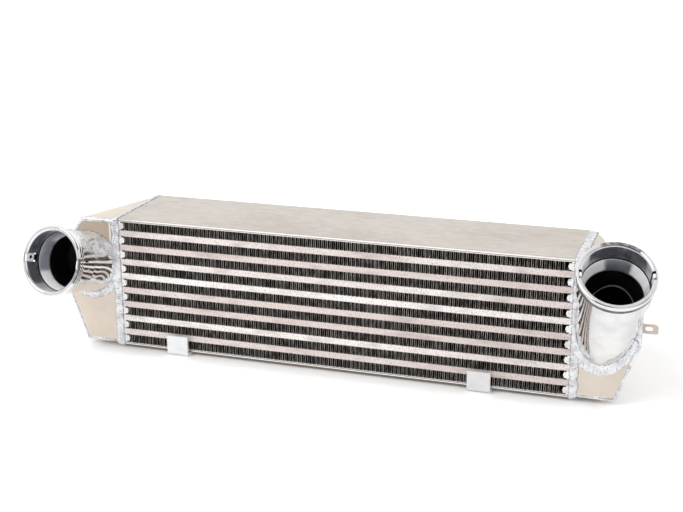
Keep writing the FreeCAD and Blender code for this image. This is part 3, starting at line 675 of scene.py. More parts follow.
# Ports
class Port:
    """A port's axis, its rim, the plane of its tank's face, and whether its pipe widens there."""

    def __init__(self, side):
        self.flared = side == "left"
        mount = next(item for item in frame["record"]["mounts"] if item["name"] == f"{side}_hose_socket")
        self.axis = Vector(mount["axis"]).normalized()
        self.rim = Vector(mount["pos_m"]) + self.axis * (mount["dims"]["length_mm"] * MM / 2 + SEAT_START)
        self.across = UP.cross(self.axis).normalized()
        self.over = self.axis.cross(self.across)
        self.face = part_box(f"{side}_tank_front")[0].y
        self.length = (self.rim.y - self.face) / self.axis.y

    def at(self, station, radius, angle):
        """A point at a station behind the rim, a radius and an angle."""
        spoke = self.across * math.cos(angle) + self.over * math.sin(angle)
        return self.rim - self.axis * station + spoke * radius

    def foot(self, radius, angle, plane):
        """Station at which a line of the tube meets an upright plane."""
        spoke = self.across * math.cos(angle) + self.over * math.sin(angle)
        return (self.rim.y + spoke.y * radius - plane) / self.axis.y


def round_corners(profile, radius, pieces=3):
    """Break the corners of a closed outline with small curves."""
    rounded = []
    count = len(profile)
    for index, corner in enumerate(profile):
        here = Vector(corner)
        before = Vector(profile[index - 1]) - here
        after = Vector(profile[(index + 1) % count]) - here
        reach = min(radius, 0.4 * before.length, 0.4 * after.length)
        start = here + before.normalized() * reach
        end = here + after.normalized() * reach
        for piece in range(pieces + 1):
            part = piece / pieces
            rounded.append(start * (1 - part) ** 2 + here * 2 * part * (1 - part) + end * part ** 2)
    return rounded


def grid_faces(rings, count, close_rings=False, close_count=True):
    """Faces between rings of points, each ring with the same count."""
    faces = []
    ring_total = rings if close_rings else rings - 1
    count_total = count if close_count else count - 1
    for ring in range(ring_total):
        following = (ring + 1) % rings
        for index in range(count_total):
            after = (index + 1) % count
            faces.append((ring * count + index, ring * count + after,
                          following * count + after, following * count + index))
    return faces


PIPE_RADIUS = 31.75 * MM
PIPE_WALL = 2.3 * MM
ROUND_COUNT = 224
RING_COUNT = 28

# Depths behind the rim at which a collar's barrel and the whole collar end
BARREL_END = 33.5 * MM
COLLAR_LENGTH = 37.0 * MM

# The left pipe widens to this radius over the last part of its length
FLARE_RADIUS = 34.0 * MM
FLARE_LENGTH = 26.0 * MM

# How high on a pipe's upper side the brushed marks start, in shares of its radius
BRUSHED_START = 0.26

# How far each pipe's bore reaches past the face of its tank, where it ends in a small lip
STUB_LIP = 0.4 * MM
STUB_DEPTHS = {"left": 2.0 * MM, "right": 12.0 * MM}


def pipe_radius(port, station):
    """Outer radius of a pipe at a station behind the rim."""
    if not port.flared:
        return PIPE_RADIUS
    part = (station - (port.length - FLARE_LENGTH)) / FLARE_LENGTH
    part = min(max(part, 0.0), 1.0)
    return PIPE_RADIUS + (FLARE_RADIUS - PIPE_RADIUS) * part * part * (3 - 2 * part)


def pipe_end(port, angle, plane):
    """Station and radius at which a line of the pipe meets an upright plane, or the collar before it."""
    radius = PIPE_RADIUS
    # Where the pipe widens, each of the two depends on the other
    for _ in range(4):
        station = max(port.foot(radius, angle, plane), BARREL_END)
        radius = pipe_radius(port, station)
    return station, radius


def mark_dressed(made, port, start):
    """Store how far the dressing of the weld brushed off the polish above a pipe, behind a depth."""
    dressed = []
    for point in made.data.vertices:
        away = point.co - port.rim
        depth = -away.dot(port.axis)
        spoke = (away + port.axis * depth).normalized()
        value = (spoke.z - BRUSHED_START) / 0.2 + noise.noise(point.co * 120) * 0.7
        dressed.append(min(max(value, 0.0), 1.0) if depth > start else 0.0)
    made.data.attributes.new("dressed", "FLOAT", "POINT").data.foreach_set("value", dressed)


class COOLER_OT_pipes(bpy.types.Operator):
    """Draw the polished pipes from the collars to the tanks"""
    bl_idname = "cooler.pipes"
    bl_label = "Pipes"

    def execute(self, context):
        angles = [2 * math.pi * index / ROUND_COUNT for index in range(ROUND_COUNT)]
        for side in SIDES:
            port = Port(side)
            ends = [pipe_end(port, angle, port.face)[0] for angle in angles]
            points = []
            for ring in range(RING_COUNT):
                for angle, end in zip(angles, ends):
                    station = COLLAR_LENGTH + (end - COLLAR_LENGTH) * ring / (RING_COUNT - 1)
                    points.append(port.at(station, pipe_radius(port, station), angle))
            bore = PIPE_RADIUS - PIPE_WALL
            plane = port.face + STUB_DEPTHS[side]
            lip = bore - STUB_LIP
            stub = ((bore, 1.5 * MM), (lip, 0.8 * MM), (lip, 0.0), (bore, -0.4 * MM))
            for radius, depth in stub:
                points += [port.at(port.foot(radius, angle, plane + depth), radius, angle)
                           for angle in angles]
            points += [port.at(COLLAR_LENGTH, bore, angle) for angle in angles]
            count = RING_COUNT + len(stub) + 1
            faces = grid_faces(count, ROUND_COUNT, close_rings=True)
            made = new_object(f"{side}_drawn_pipe", points, faces, finish_for("drawn_tube"), 35)
            for finish in (bore_shade_material, lip_material):
                made.data.materials.append(finish_for(finish))
            # 0 is the polished outside and 1 the bore; the right stub's lip catches the light
            lip_index = 2 if side == "right" else 1
            for face in made.data.polygons:
                ring = face.index // ROUND_COUNT
                face.material_index = 0 if ring < RING_COUNT - 1 else lip_index if ring < count - 2 else 1
            if side == "left":
                mark_dressed(made, port, COLLAR_LENGTH - MM)
            tidy_mesh(made)
            settle(made, "drawn_tube", f"{side}_pipe")
        return {"FINISHED"}


def cut_with(made, mesh):
    """Take a bmesh out of an object; the cut keeps the object's own list of finishes."""
    data = bpy.data.meshes.new("cutter")
    mesh.to_mesh(data)
    mesh.free()
    for material in made.data.materials:
        data.materials.append(material)
    cutter = show_mesh("cutter", data)
    modifier = made.modifiers.new("cut", "BOOLEAN")
    modifier.operation = "DIFFERENCE"
    modifier.solver = "EXACT"
    modifier.object = cutter
    evaluated = made.evaluated_get(bpy.context.evaluated_depsgraph_get())
    result = bpy.data.meshes.new_from_object(evaluated)
    made.modifiers.remove(modifier)
    made.data = result
    smooth(result, 35)
    bpy.data.objects.remove(cutter)


# Radius and depth behind the rim in millimetres, from the mouth's bevel outwards and round
COLLAR_PROFILE = [
    (35.1, 0.0), (37.8, 0.0), (39.0, 1.2), (39.0, 5.0), (37.8, 5.0), (37.8, 6.2), (38.3, 6.2),
    (38.3, 10.0), (36.5, 10.0), (36.5, 31.0), (31.75, 33.5), (31.75, 37.0), (29.45, 37.0),
    (29.45, 35.0), (32.8, 21.4), (34.4, 21.4), (34.4, 20.0), (33.5, 20.0), (33.5, 1.6)]

# Depths between which the groove behind the lip is painted grey as shade. On the right collar the band also
# takes in the ring behind it, as a painted dark reflection
GREY_BAND_START = 5.0 * MM
GREY_BAND_ENDS = {"left": 6.3 * MM, "right": 10.1 * MM}

# Depths of the lip, the seat and the throat in millimetres
LIP_DEPTHS = (0.0, 1.2)
SEAT_DEPTHS = (1.6, 20.0)
THROAT_DEPTHS = (21.4, 35.0)

# Painted reflections in arcs, pale and, with a level below 0, dark: middle and half width in degrees from
# the side, level, depths in millimetres
PAINTED_REFLECTIONS = {
    "left": [(85, 22, 0.5, *SEAT_DEPTHS), (262, 28, 0.4, *SEAT_DEPTHS),
             (92, 48, 1.0, *THROAT_DEPTHS), (180, 50, 0.35, 27.0, 35.0),
             (180, 50, -1.6, 21.4, 27.0), (268, 62, 1.0, *THROAT_DEPTHS), (-10, 22, -0.8, *LIP_DEPTHS)],
    "right": [(176, 38, 1.0, *SEAT_DEPTHS), (5, 24, 0.4, *SEAT_DEPTHS), (75, 5, 0.15, *SEAT_DEPTHS),
              (154, 50, 1.0, *THROAT_DEPTHS), (30, 26, 1.0, *THROAT_DEPTHS), (-8, 14, 0.8, *THROAT_DEPTHS),
              (80, 32, -1.0, *LIP_DEPTHS)],
}

# Part of each lip's outer bevel painted grey, as a painted reflection of the dark front, in degrees from
# the side
SHADED_BEVELS = {"left": (-32, 12), "right": (42, 112)}

SLOT_START = -1.0 * MM
SLOT_DEPTH = 19.0 * MM
SLOT_REACH = 36.35 * MM
SLOT_WIDTH = 10.0 * MM

# A catch's depths behind the rim, its distances from the axis, its width and the radius of its hole
CATCH_DEPTHS = (0.2 * MM, 13.8 * MM)
CATCH_RADII = (33.6 * MM, 36.3 * MM)
CATCH_WIDTHS = {"left": 9.9 * MM, "right": 5.0 * MM}
CATCH_HOLE_SHARE = 0.21


class COOLER_OT_collars(bpy.types.Operator):
    """Turn the collars with their seats, grooves and clip slots"""
    bl_idname = "cooler.collars"
    bl_label = "Collars"

    def execute(self, context):
        profile = [(radius * MM, station * MM) for radius, station in COLLAR_PROFILE]
        outline = round_corners(profile, context.scene.cooler_sizes.edge_round)
        for side in SIDES:
            port = Port(side)
            points = [port.at(station, radius, 2 * math.pi * index / ROUND_COUNT)
                      for radius, station in outline for index in range(ROUND_COUNT)]
            faces = grid_faces(len(outline), ROUND_COUNT, close_rings=True)
            made = new_object(f"{side}_turned_collar", points, faces, finish_for("turned_collar"), 35)
            for finish in (seat_material, shade_grey_material, throat_material, lip_material, bore_shade_material):
                made.data.materials.append(finish_for(finish))
            for face in made.data.polygons:
                face.material_index = self.finish_index(face.center, port, side)
            tidy_mesh(made)
            self.cut_slots(made, port)
            self.paint_reflections(made, port, PAINTED_REFLECTIONS[side])
            if side == "left":
                mark_dressed(made, port, 27.0 * MM)
            settle(made, "turned_collar", f"{side}_collar")
            self.fit_tabs(side, port)
        return {"FINISHED"}

    def finish_index(self, spot, port, side):
        """0 outside, 1 the seat, 2 grey metal, painted as shade in the groove and as dark reflection on the
        ring and the bevel, 3 the throat, 4 the lip's front, 5 the seal's groove, painted dark as shade.
        """
        depth = (port.rim - spot).dot(port.axis)
        spoke = spot - port.rim + port.axis * depth
        radius = spoke.length
        turn = math.degrees(math.atan2(spoke.dot(port.over), spoke.dot(port.across)))
        start, end = SHADED_BEVELS[side]
        if depth < 1.3 * MM and radius > 37.7 * MM and start < turn < end:
            return 2
        if depth < 0.3 * MM and 35.2 * MM < radius < 37.7 * MM:
            return 4
        if radius < 35.0 * MM:
            return 1 if depth < 19.9 * MM else 5 if depth < 21.45 * MM else 3
        return 2 if GREY_BAND_START < depth < GREY_BAND_ENDS[side] else 0

    def paint_reflections(self, made, port, arcs):
        """Store how pale, or below 0 how dark, the painted reflections make each point of a collar."""
        values = []
        for point in made.data.vertices:
            away = port.rim - point.co
            depth = away.dot(port.axis)
            spoke = port.axis * depth - away
            turn = math.degrees(math.atan2(spoke.dot(port.over), spoke.dot(port.across)))
            value = 0.0
            for middle, half, level, shallow, deep in arcs:
                if shallow * MM - 0.1 * MM < depth < deep * MM + 0.1 * MM:
                    off = abs((turn - middle + 180) % 360 - 180)
                    part = level * min(max((half - off) / 8 + 0.5, 0.0), 1.0)
                    value = max(value, part) if level > 0 else min(value, part)
            values.append(value)
        made.data.attributes.new("reflection_arc", "FLOAT", "POINT").data.foreach_set("value", values)

    def fit_tabs(self, side, port):
        """Pale catches of the spring clip, one in each slot, each with a small blind hole."""
        start, end = CATCH_DEPTHS
        inner, outer = CATCH_RADII
        width = CATCH_WIDTHS[side]
        for number, sign in enumerate((-1, 1)):
            middle = port.rim - port.axis * (start + end) / 2 + port.across * sign * (inner + outer) / 2
            turn = Matrix((port.across, port.over, port.axis)).transposed().to_4x4()
            place = Matrix.Translation(middle) @ turn
            mesh = bmesh.new()
            spans = Matrix.Diagonal((outer - inner, width, end - start, 1))
            bmesh.ops.create_cube(mesh, size=1.0, matrix=spans)
            bmesh.ops.bevel(mesh, geom=mesh.edges[:], offset=0.7 * MM, segments=3, affect="EDGES")
            mesh.transform(place)
            data = bpy.data.meshes.new(f"{side}_clip_catch_{number}")
            mesh.to_mesh(data)
            mesh.free()
            for finish in (catch_material, bore_shade_material):
                data.materials.append(finish_for(finish))
            made = show_mesh(data.name, data)
            mesh = bmesh.new()
            hole = Matrix.Translation((-sign * (outer - inner) / 2, 0.5 * MM, -0.6 * MM))
            radius = CATCH_HOLE_SHARE * width
            bmesh.ops.create_cone(mesh, segments=32, radius1=radius, radius2=radius, depth=3.0 * MM,
                                  cap_ends=True, matrix=place @ hole @ Matrix.Rotation(math.pi / 2, 4, "Y"))
            # The hole takes the dark bore finish, a painted shade
            for face in mesh.faces:
                face.material_index = 1
            cut_with(made, mesh)
            settle(made, "bracket_strip")

    def cut_slots(self, made, port):
        """Cut the two clip slots from the rim down, through the barrel's thinner wall."""
        middle = port.rim - port.axis * (SLOT_START + SLOT_DEPTH) / 2
        turn = Matrix((port.across, port.over, port.axis)).transposed().to_4x4()
        spans = Matrix.Diagonal((2 * SLOT_REACH, SLOT_WIDTH, SLOT_DEPTH - SLOT_START, 1))
        mesh = bmesh.new()
        bmesh.ops.create_cube(mesh, size=1.0, matrix=Matrix.Translation(middle) @ turn @ spans)
        # The slot's cut walls take the dark bore finish, a painted shade
        for face in mesh.faces:
            face.material_index = 5
        cut_with(made, mesh)


# Welds
# Grains of a weld's coarse lumps, of its fine ones and of its pebbles
LUMP_GRAINS = (13.3333 * MM, 3.0303 * MM)
PEBBLE_GRAIN = 5.26316 * MM


def weld_tree():
    """Raise the uneven ripples and lumps of a weld on a plain band."""
    metres = "NodeSocketFloat"
    tree, given = geometry_tree("weld_ripples", [
        ("Pitch", metres), ("Ripple", metres), ("Bow", metres), ("Slant", metres), ("Wander", metres),
        ("Lumps", metres), ("Seed", metres), ("Material", "NodeSocketMaterial")])
    along, across, swell = [
        add(tree, "GeometryNodeInputNamedAttribute", {"Name": name}, data_type="FLOAT")
        for name in ("along", "across", "swell")]
    place = add(tree, "GeometryNodeInputPosition")
    noises = []
    for grain in LUMP_GRAINS:
        cloud = add(tree, "ShaderNodeTexNoise", {"Vector": place, "W": given["Seed"], "Scale": 1 / grain,
                                                 "Detail": 2.0}, noise_dimensions="4D")
        noises.append(add(tree, MATH, [cloud, 0.5], operation="SUBTRACT"))
    coarse, fine = noises
    pebbles = add(tree, "ShaderNodeTexVoronoi", {"Vector": place, "W": given["Seed"],
                                                 "Scale": 1 / PEBBLE_GRAIN},
                  voronoi_dimensions="4D", feature="SMOOTH_F1")
    bowed = add(tree, MATH, [add(tree, MATH, [across, across], operation="MULTIPLY"), given["Bow"]],
                operation="MULTIPLY")
    slanted = add(tree, MATH, [across, given["Slant"]], operation="MULTIPLY")
    strayed = add(tree, MATH, [coarse, given["Wander"]], operation="MULTIPLY")
    phase = add(tree, MATH, [along, given["Pitch"]], operation="DIVIDE")
    for part in (bowed, slanted, strayed):
        phase = add(tree, MATH, [phase, part], operation="ADD")
    saw = add(tree, MATH, [phase], operation="FRACT")
    number = add(tree, "ShaderNodeTexWhiteNoise", {"W": add(tree, MATH, [phase], operation="FLOOR")},
                 noise_dimensions="1D")
    share = add(tree, MATH, [add(tree, MATH, [number, 0.8], operation="MULTIPLY"), 0.25], operation="ADD")
    arch = add(tree, MATH, [add(tree, MATH, [saw, 4.0], operation="MULTIPLY"),
                            add(tree, MATH, [1.0, saw], operation="SUBTRACT")], operation="MULTIPLY")
    round_top = add(tree, MATH, [arch], operation="SQRT")
    ripples = add(tree, MATH, [add(tree, MATH, [round_top, 1.0], operation="SUBTRACT"), share],
                  operation="MULTIPLY")
    lumps = add(tree, MATH, [add(tree, MATH, [coarse, 2.2], operation="MULTIPLY"), fine], operation="ADD")
    lumps = add(tree, MATH, [lumps, add(tree, MATH, [pebbles, 0.9], operation="MULTIPLY")],
                operation="SUBTRACT")
    height = add(tree, MATH, [ripples, add(tree, MATH, [lumps, given["Lumps"]], operation="MULTIPLY")],
                 operation="ADD")
    rise = add(tree, MATH, [add(tree, MATH, [height, swell], operation="MULTIPLY"), given["Ripple"]],
               operation="MULTIPLY")
    normal = add(tree, "GeometryNodeInputNormal")
    offset = add(tree, "ShaderNodeVectorMath", {0: normal, "Scale": rise}, operation="SCALE")
    # The crown value sinks in the creases, in the pebbles' hollows and at the toes, where the weld's
    # material paints shade
    toe = add(tree, MATH, [add(tree, MATH, [across], operation="ABSOLUTE"), 8.0], operation="POWER")
    crown = add(tree, MATH, [add(tree, MATH, [ripples, 0.8], operation="MULTIPLY"), 1.0], operation="ADD")
    crown = add(tree, MATH, [crown, add(tree, MATH, [pebbles, 0.55], operation="MULTIPLY")],
                operation="SUBTRACT")
    crown = add(tree, MATH, [crown, add(tree, MATH, [1.0, toe], operation="SUBTRACT")],
                operation="MULTIPLY")
    marked = add(tree, "GeometryNodeStoreNamedAttribute", {
        "Geometry": given["Geometry"], "Name": "crown", "Value": crown}, data_type="FLOAT")
    moved = add(tree, "GeometryNodeSetPosition", {0: marked, "Offset": offset})
    end_tree(tree, moved, given["Material"])
    return tree


def weld_band(name, stations, sections):
    """A band of weld with a section of (point, across, swell) at each station, closed if its ends meet."""
    count = len(sections[0])
    points = [point for section in sections for point, _, _ in section]
    closed = (points[0] - points[-count]).length < 10 * MM
    faces = grid_faces(len(sections), count, close_rings=closed)
    if not closed:
        faces.append(tuple(range(count)))
        faces.append(tuple(range(len(points) - count, len(points)))[::-1])
    made = new_object(name, points, faces, finish_for("weld_metal"), 60)
    tidy_mesh(made, merge=False)
    values = {"along": [station for station in stations for _ in range(count)],
              "across": [across for section in sections for _, across, _ in section],
              "swell": [swell for section in sections for _, _, swell in section]}
    for key, numbers in values.items():
        made.data.attributes.new(key, "FLOAT", "POINT").data.foreach_set("value", numbers)
    return made


def ripple(made, seed, bow, slant, wander, depth=1.0):
    """Raise a band's ripples, to a share of the set depth."""
    sizes = bpy.context.scene.cooler_sizes
    apply_tree(made, bpy.data.node_groups.get("weld_ripples") or weld_tree(), {
        "Pitch": sizes.ripple_pitch, "Ripple": sizes.ripple_depth * depth,
        "Bow": bow, "Slant": slant, "Wander": wander, "Lumps": 1.1, "Seed": float(seed),
        "Material": finish_for("weld_metal")})
    made.data.shade_smooth()


def dome(low, high, lift, pieces, height):
    """Upper side of a band's section, from one toe to the other."""
    section = []
    for piece in range(pieces + 1):
        across = -1 + 2 * piece / pieces
        crown = math.sqrt(max(0.0, 1 - across * across))
        spot = low.lerp(high, piece / pieces) + lift * height * crown ** 0.7
        section.append((spot, across, crown ** 0.5))
    return section


# How far the tanks are lower than the core's top and higher than its foot
TANK_TOP_DROP = CORE_HIGH.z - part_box("left_tank_front")[1].z
TANK_FOOT_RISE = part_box("left_tank_front")[0].z - CORE_LOW.z

# How far a core weld's toes reach onto the core and onto the tank, and its height
CORE_WELD_INSET = 1.2 * MM
CORE_WELD_REACH = 8.2 * MM
CORE_WELD_HEIGHT = 2.0 * MM
CORE_WELD_PACE = 0.45 * MM


def ring_path(low, high, corner, pace):
    """Points and outward directions round a rectangle in Y and Z with rounded corners."""
    path = []
    corners = [(low.y, high.z), (low.y, low.z), (high.y, low.z), (high.y, high.z)]
    for index, (y, z) in enumerate(corners):
        start = (index + 1) * math.pi / 2
        inward_y = corner if y == low.y else -corner
        inward_z = corner if z == low.z else -corner
        centre = Vector((0, y + inward_y, z + inward_z))
        for part in range(7):
            angle = start + part / 6 * math.pi / 2
            spoke = Vector((0, math.cos(angle), math.sin(angle)))
            path.append((centre + spoke * corner, spoke))
    filled = []
    for index, (point, spoke) in enumerate(path):
        following, next_spoke = path[(index + 1) % len(path)]
        pieces = max(1, round((following - point).length / pace))
        for piece in range(pieces):
            share = piece / pieces
            filled.append((point.lerp(following, share), spoke.lerp(next_spoke, share).normalized()))
    return filled


class COOLER_OT_core_welds(bpy.types.Operator):
    """Lay the weld bands between the core and the tanks"""
    bl_idname = "cooler.core_welds"
    bl_label = "Core welds"

    def execute(self, context):
        for side, sign in SIDES.items():
            end = CORE_HIGH.x if sign > 0 else CORE_LOW.x
            inner = end - sign * CORE_WELD_INSET
            outer = end + sign * CORE_WELD_REACH
            sections = []
            stations = []
            travelled = 0.0
            path = ring_path(CORE_LOW, CORE_HIGH, 1.5 * MM, CORE_WELD_PACE)
            for index, (point, spoke) in enumerate(path):
                low = Vector((inner, point.y, point.z))
                high = Vector((outer, point.y, point.z))
                low.x += noise.noise(Vector((travelled * 160, sign, 0.0))) * 1.0 * MM
                high.x += noise.noise(Vector((travelled * 120, sign, 5.0))) * 1.6 * MM
                high.z -= spoke.z * (TANK_TOP_DROP if spoke.z > 0 else TANK_FOOT_RISE)
                # The bead is lower behind, so that its ripples stay inside the CAD model's box
                section = dome(low, high, spoke, 16, CORE_WELD_HEIGHT - max(spoke.y, 0.0) * 0.6 * MM)
                under = -spoke * 1.0 * MM
                section += [(high + under, 1.0, 0.0), (low + under, -1.0, 0.0)]
                sections.append(section)
                stations.append(travelled)
                travelled += (path[(index + 1) % len(path)][0] - point).length
            made = weld_band(f"{side}_core_bead", stations, sections)
            ripple(made, 3 + sign, bow=1.1, slant=0.3 * sign, wander=2.2)
            settle(made, "weld_metal", f"{side}_core_weld")
        return {"FINISHED"}


# Width of each pipe's weld, how far its toe sits below the pipe's own line, and how much
# further it climbs along the top of the pipe
PIPE_WELD_TOES = {"left": (4.5 * MM, 2.3 * MM, 9.0 * MM), "right": (6.5 * MM, 0.0, 0.0)}
# How far each pipe's weld climbs the pipe all round; it climbs up to PIPE_WELD_MORE further where its toe
# is held back by the edge of the tank's front
PIPE_WELD_HEIGHTS = {"left": 6.0 * MM, "right": 3.2 * MM}
PIPE_WELD_MORE = 4 * MM
PIPE_WELD_CROWN = 1.2 * MM
PIPE_WELD_COUNT = 620


def on_pipe(port, angle, plane):
    """The point at which a line of the pipe meets an upright plane, or the collar before it."""
    return port.at(*pipe_end(port, angle, plane), angle)


class COOLER_OT_pipe_welds(bpy.types.Operator):
    """Lay the weld round the foot of each pipe"""
    bl_idname = "cooler.pipe_welds"
    bl_label = "Pipe welds"

    def execute(self, context):
        for side, sign in SIDES.items():
            port = Port(side)
            width, drop, extra = PIPE_WELD_TOES[side]
            centre = port.at(port.length, 0, 0)
            toe_radius = (FLARE_RADIUS if port.flared else PIPE_RADIUS) + width
            low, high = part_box(f"{side}_tank_front")
            sections = []
            stations = []
            travelled = 0.0
            last = None
            for index in range(PIPE_WELD_COUNT):
                angle = 2 * math.pi * index / PIPE_WELD_COUNT
                root = on_pipe(port, angle, port.face)
                upper = min(max((root - centre).normalized().z * 1.4, 0.0), 1.0)
                climb = extra * upper * (0.85 + 0.5 * noise.noise(root * 90))
                height = PIPE_WELD_HEIGHTS[side] + climb
                toe = port.at(port.foot(toe_radius, angle, port.face), toe_radius, angle) - UP * drop
                toe += (toe - root).normalized() * noise.noise(toe * 150) * 1.5 * MM
                wanted = toe.x
                toe.x = min(max(toe.x, low.x - 1 * MM), high.x + 1 * MM)
                height += min(0.7 * abs(wanted - toe.x), PIPE_WELD_MORE)
                toe.y = port.face + 0.2 * MM
                if last is not None:
                    travelled += (root - last).length
                last = root
                crest = on_pipe(port, angle, port.face - height)
                lift = ((toe + crest) / 2 - root).normalized()
                section = []
                for part in range(13):
                    share = part / 12
                    across = 2 * share - 1
                    crown = math.sqrt(1 - across * across)
                    spot = on_pipe(port, angle, port.face - height * share)
                    spot += (toe - root) * (1 - share) ** 2 + lift * PIPE_WELD_CROWN * crown ** 0.7
                    section.append((spot, across, crown ** 0.5))
                section.append((root - (root - centre).normalized() * PIPE_WELD_CROWN, 0.0, 0.0))
                sections.append(section)
                stations.append(travelled)
            made = weld_band(f"{side}_pipe_bead", stations, sections)
            ripple(made, 7 + sign, bow=0.7, slant=0.4 * sign, wander=2.4)
            settle(made, "weld_metal", f"{side}_pipe_weld")
        return {"FINISHED"}


def front_corners(side, sign):
    """Corners of a tank front's outline, from the core's top corner outwards and down."""
    node = NODES[f"{side}_tank_front"]
    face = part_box(f"{side}_tank_front")[0].y
    flat = sorted({(round(point.co.x, 5), round(point.co.z, 5)) for point in node.data.vertices
                   if abs(point.co.y - face) < 0.01 * MM})
    hull = [Vector(flat[index]) for index in geometry.convex_hull_2d(flat)]
    corners = []
    for index, corner in enumerate(hull):
        before = corner - hull[index - 1]
        after = hull[(index + 1) % len(hull)] - corner
        if before.angle(after) > math.radians(4):
            corners.append(corner)
    end = CORE_HIGH.x if sign > 0 else CORE_LOW.x
    start = max((corner for corner in corners if abs(corner.x - end) < MM), key=lambda corner: corner.y)
    first = corners.index(start)
    corners = corners[first:] + corners[:first]
    if abs(corners[1].x - end) < MM:
        corners = corners[:1] + corners[:0:-1]
    return corners


def outline_path(corners, bend, pace):
    """Evenly spaced points and outward directions along an open outline with rounded corners."""
    line = [corners[0]]
    for index in range(1, len(corners) - 1):
        here = corners[index]
        before = (corners[index - 1] - here).normalized() * bend
        after = (corners[index + 1] - here).normalized() * bend
        for part in range(7):
            share = part / 6
            line.append(here + before * (1 - share) ** 2 + after * share ** 2)
    line.append(corners[-1])
    middle = sum(corners, Vector((0, 0))) / len(corners)
    path = []
    for start, end in zip(line, line[1:]):
        way = end - start
        outward = Vector((way.y, -way.x)).normalized()
        if outward.dot(start - middle) < 0:
            outward = -outward
        pieces = max(1, round(way.length / pace))
        path += [(start.lerp(end, piece / pieces), outward) for piece in range(pieces)]
    return path


def sheet_copy(node, name):
    """A copy of a CAD node's mesh with the tank's finish, and the bore's painted shade for its inside."""
    data = NODES[node].data.copy()
    data.name = name
    data.materials.clear()
    for finish in ("tank_sheet", bore_shade_material):
        data.materials.append(finish_for(finish))
    return data


# Pace of a front bead's sections, points of a section, and how deep it sinks into the plate's face and edge
FRONT_BEAD_PACE = 0.5 * MM
FRONT_BEAD_POINTS = 14
FRONT_BEAD_SINK = 0.9 * MM
FRONT_BEAD_INSET = 1.0 * MM


class COOLER_OT_tanks(bpy.types.Operator):
    """Round the tanks' folds, paint their insides dark as shade and lay a bead round each tank front"""
    bl_idname = "cooler.tanks"
    bl_label = "Tanks"

    def execute(self, context):
        for side, sign in SIDES.items():
            self.fold_shell(side, context.scene.cooler_sizes.fold_round)
            self.shade_front(side)
            self.lay_bead(side, sign, context.scene.cooler_sizes)
        return {"FINISHED"}

    def fold_shell(self, side, radius):
        """A copy of the tank's wrap with rounded folds and an inside painted dark as shade."""
        low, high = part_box(f"{side}_tank_shell")
        inside = (low + high) / 2
        data = sheet_copy(f"{side}_tank_shell", f"{side}_folded_tank")
        mesh = bmesh.new()
        mesh.from_mesh(data)
        bmesh.ops.remove_doubles(mesh, verts=mesh.verts, dist=1e-6)
        bmesh.ops.dissolve_limit(mesh, angle_limit=math.radians(1), verts=mesh.verts, edges=mesh.edges)
        for face in mesh.faces:
            towards = inside - face.calc_center_median()
            face.material_index = int(face.normal.dot(towards) > 0)
        folds = [edge for edge in mesh.edges
                 if len(edge.link_faces) == 2 and edge.calc_face_angle() > math.radians(12)
                 and not any(face.material_index for face in edge.link_faces)]
        bmesh.ops.bevel(mesh, geom=folds, offset=radius, segments=3, affect="EDGES", clamp_overlap=True)
        mesh.to_mesh(data)
        mesh.free()
        smooth(data, 28)
        settle(show_mesh(data.name, data), "tank_sheet", f"{side}_tank_shell")

    def shade_front(self, side):
        """A copy of the tank's front plate with its hole and back painted dark as shade."""
        low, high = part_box(f"{side}_tank_front")
        middle = (low + high) / 2
        data = sheet_copy(f"{side}_tank_front", f"{side}_front_plate")
        for face in data.polygons:
            outside = (face.center - middle).dot(face.normal) > 0
            face.material_index = int(face.normal.y > 0.9 or (face.normal.y > -0.9 and not outside))
        settle(show_mesh(data.name, data), "tank_sheet", f"{side}_tank_front")

    def lay_bead(self, side, sign, sizes):
        """A round weld bead along the edges of the tank's front plate."""
        corners = front_corners(side, sign)
        port = Port(side)
        face = port.face
        path = outline_path(corners, 3.0 * MM, FRONT_BEAD_PACE)
        top = corners[0].y
        sections = []
        stations = []
        for index, (spot, outward) in enumerate(path):
            near_top = min(max((spot.y - top + 5 * MM) / (5 * MM), 0.0), 1.0)
            radius = sizes.edge_bead + (sizes.top_bead - sizes.edge_bead) * near_top
            radius *= 1 + 0.12 * noise.noise(Vector((index * 0.05, sign, 4.0)))
            out = Vector((outward.x, 0, outward.y))
            centre = Vector((spot.x, face + radius - FRONT_BEAD_SINK, spot.y))
            centre -= out * (radius - FRONT_BEAD_INSET)
            # The bead thins out where the pipe stands on it
            away = centre - port.rim
            reach = (away - port.axis * away.dot(port.axis)).length
            clear = min(max((reach - PIPE_RADIUS) / (2 * MM), 0.03), 1.0)
            centre.y += (1 - clear) * 3 * MM
            radius *= clear
            section = []
            for turn in range(FRONT_BEAD_POINTS):
                angle = 2 * math.pi * turn / FRONT_BEAD_POINTS
                spoke = out * math.cos(angle) + Vector((0, -1, 0)) * math.sin(angle)
                across = math.sin(angle - math.pi / 4)
                section.append((centre + spoke * radius, across * 0.9, 1.0))
            sections.append(section)
            stations.append(index * FRONT_BEAD_PACE)
        made = weld_band(f"{side}_front_bead", stations, sections)
        ripple(made, 12 + sign, bow=0.6, slant=0.5, wander=1.5, depth=0.6)
        settle(made, "weld_metal")


# Stage
# The floor's glow is lowered, below zero under the part, as a painted shadow, from this far inside its
# outline to this far outside. From there to the last distance it glows a little more
SHADE_INSET = Vector((60, 40, 0)) * MM
SHADE_REACH = 22 * MM
GLOW_REACH = 400 * MM
FLOOR_REACH = 6.0


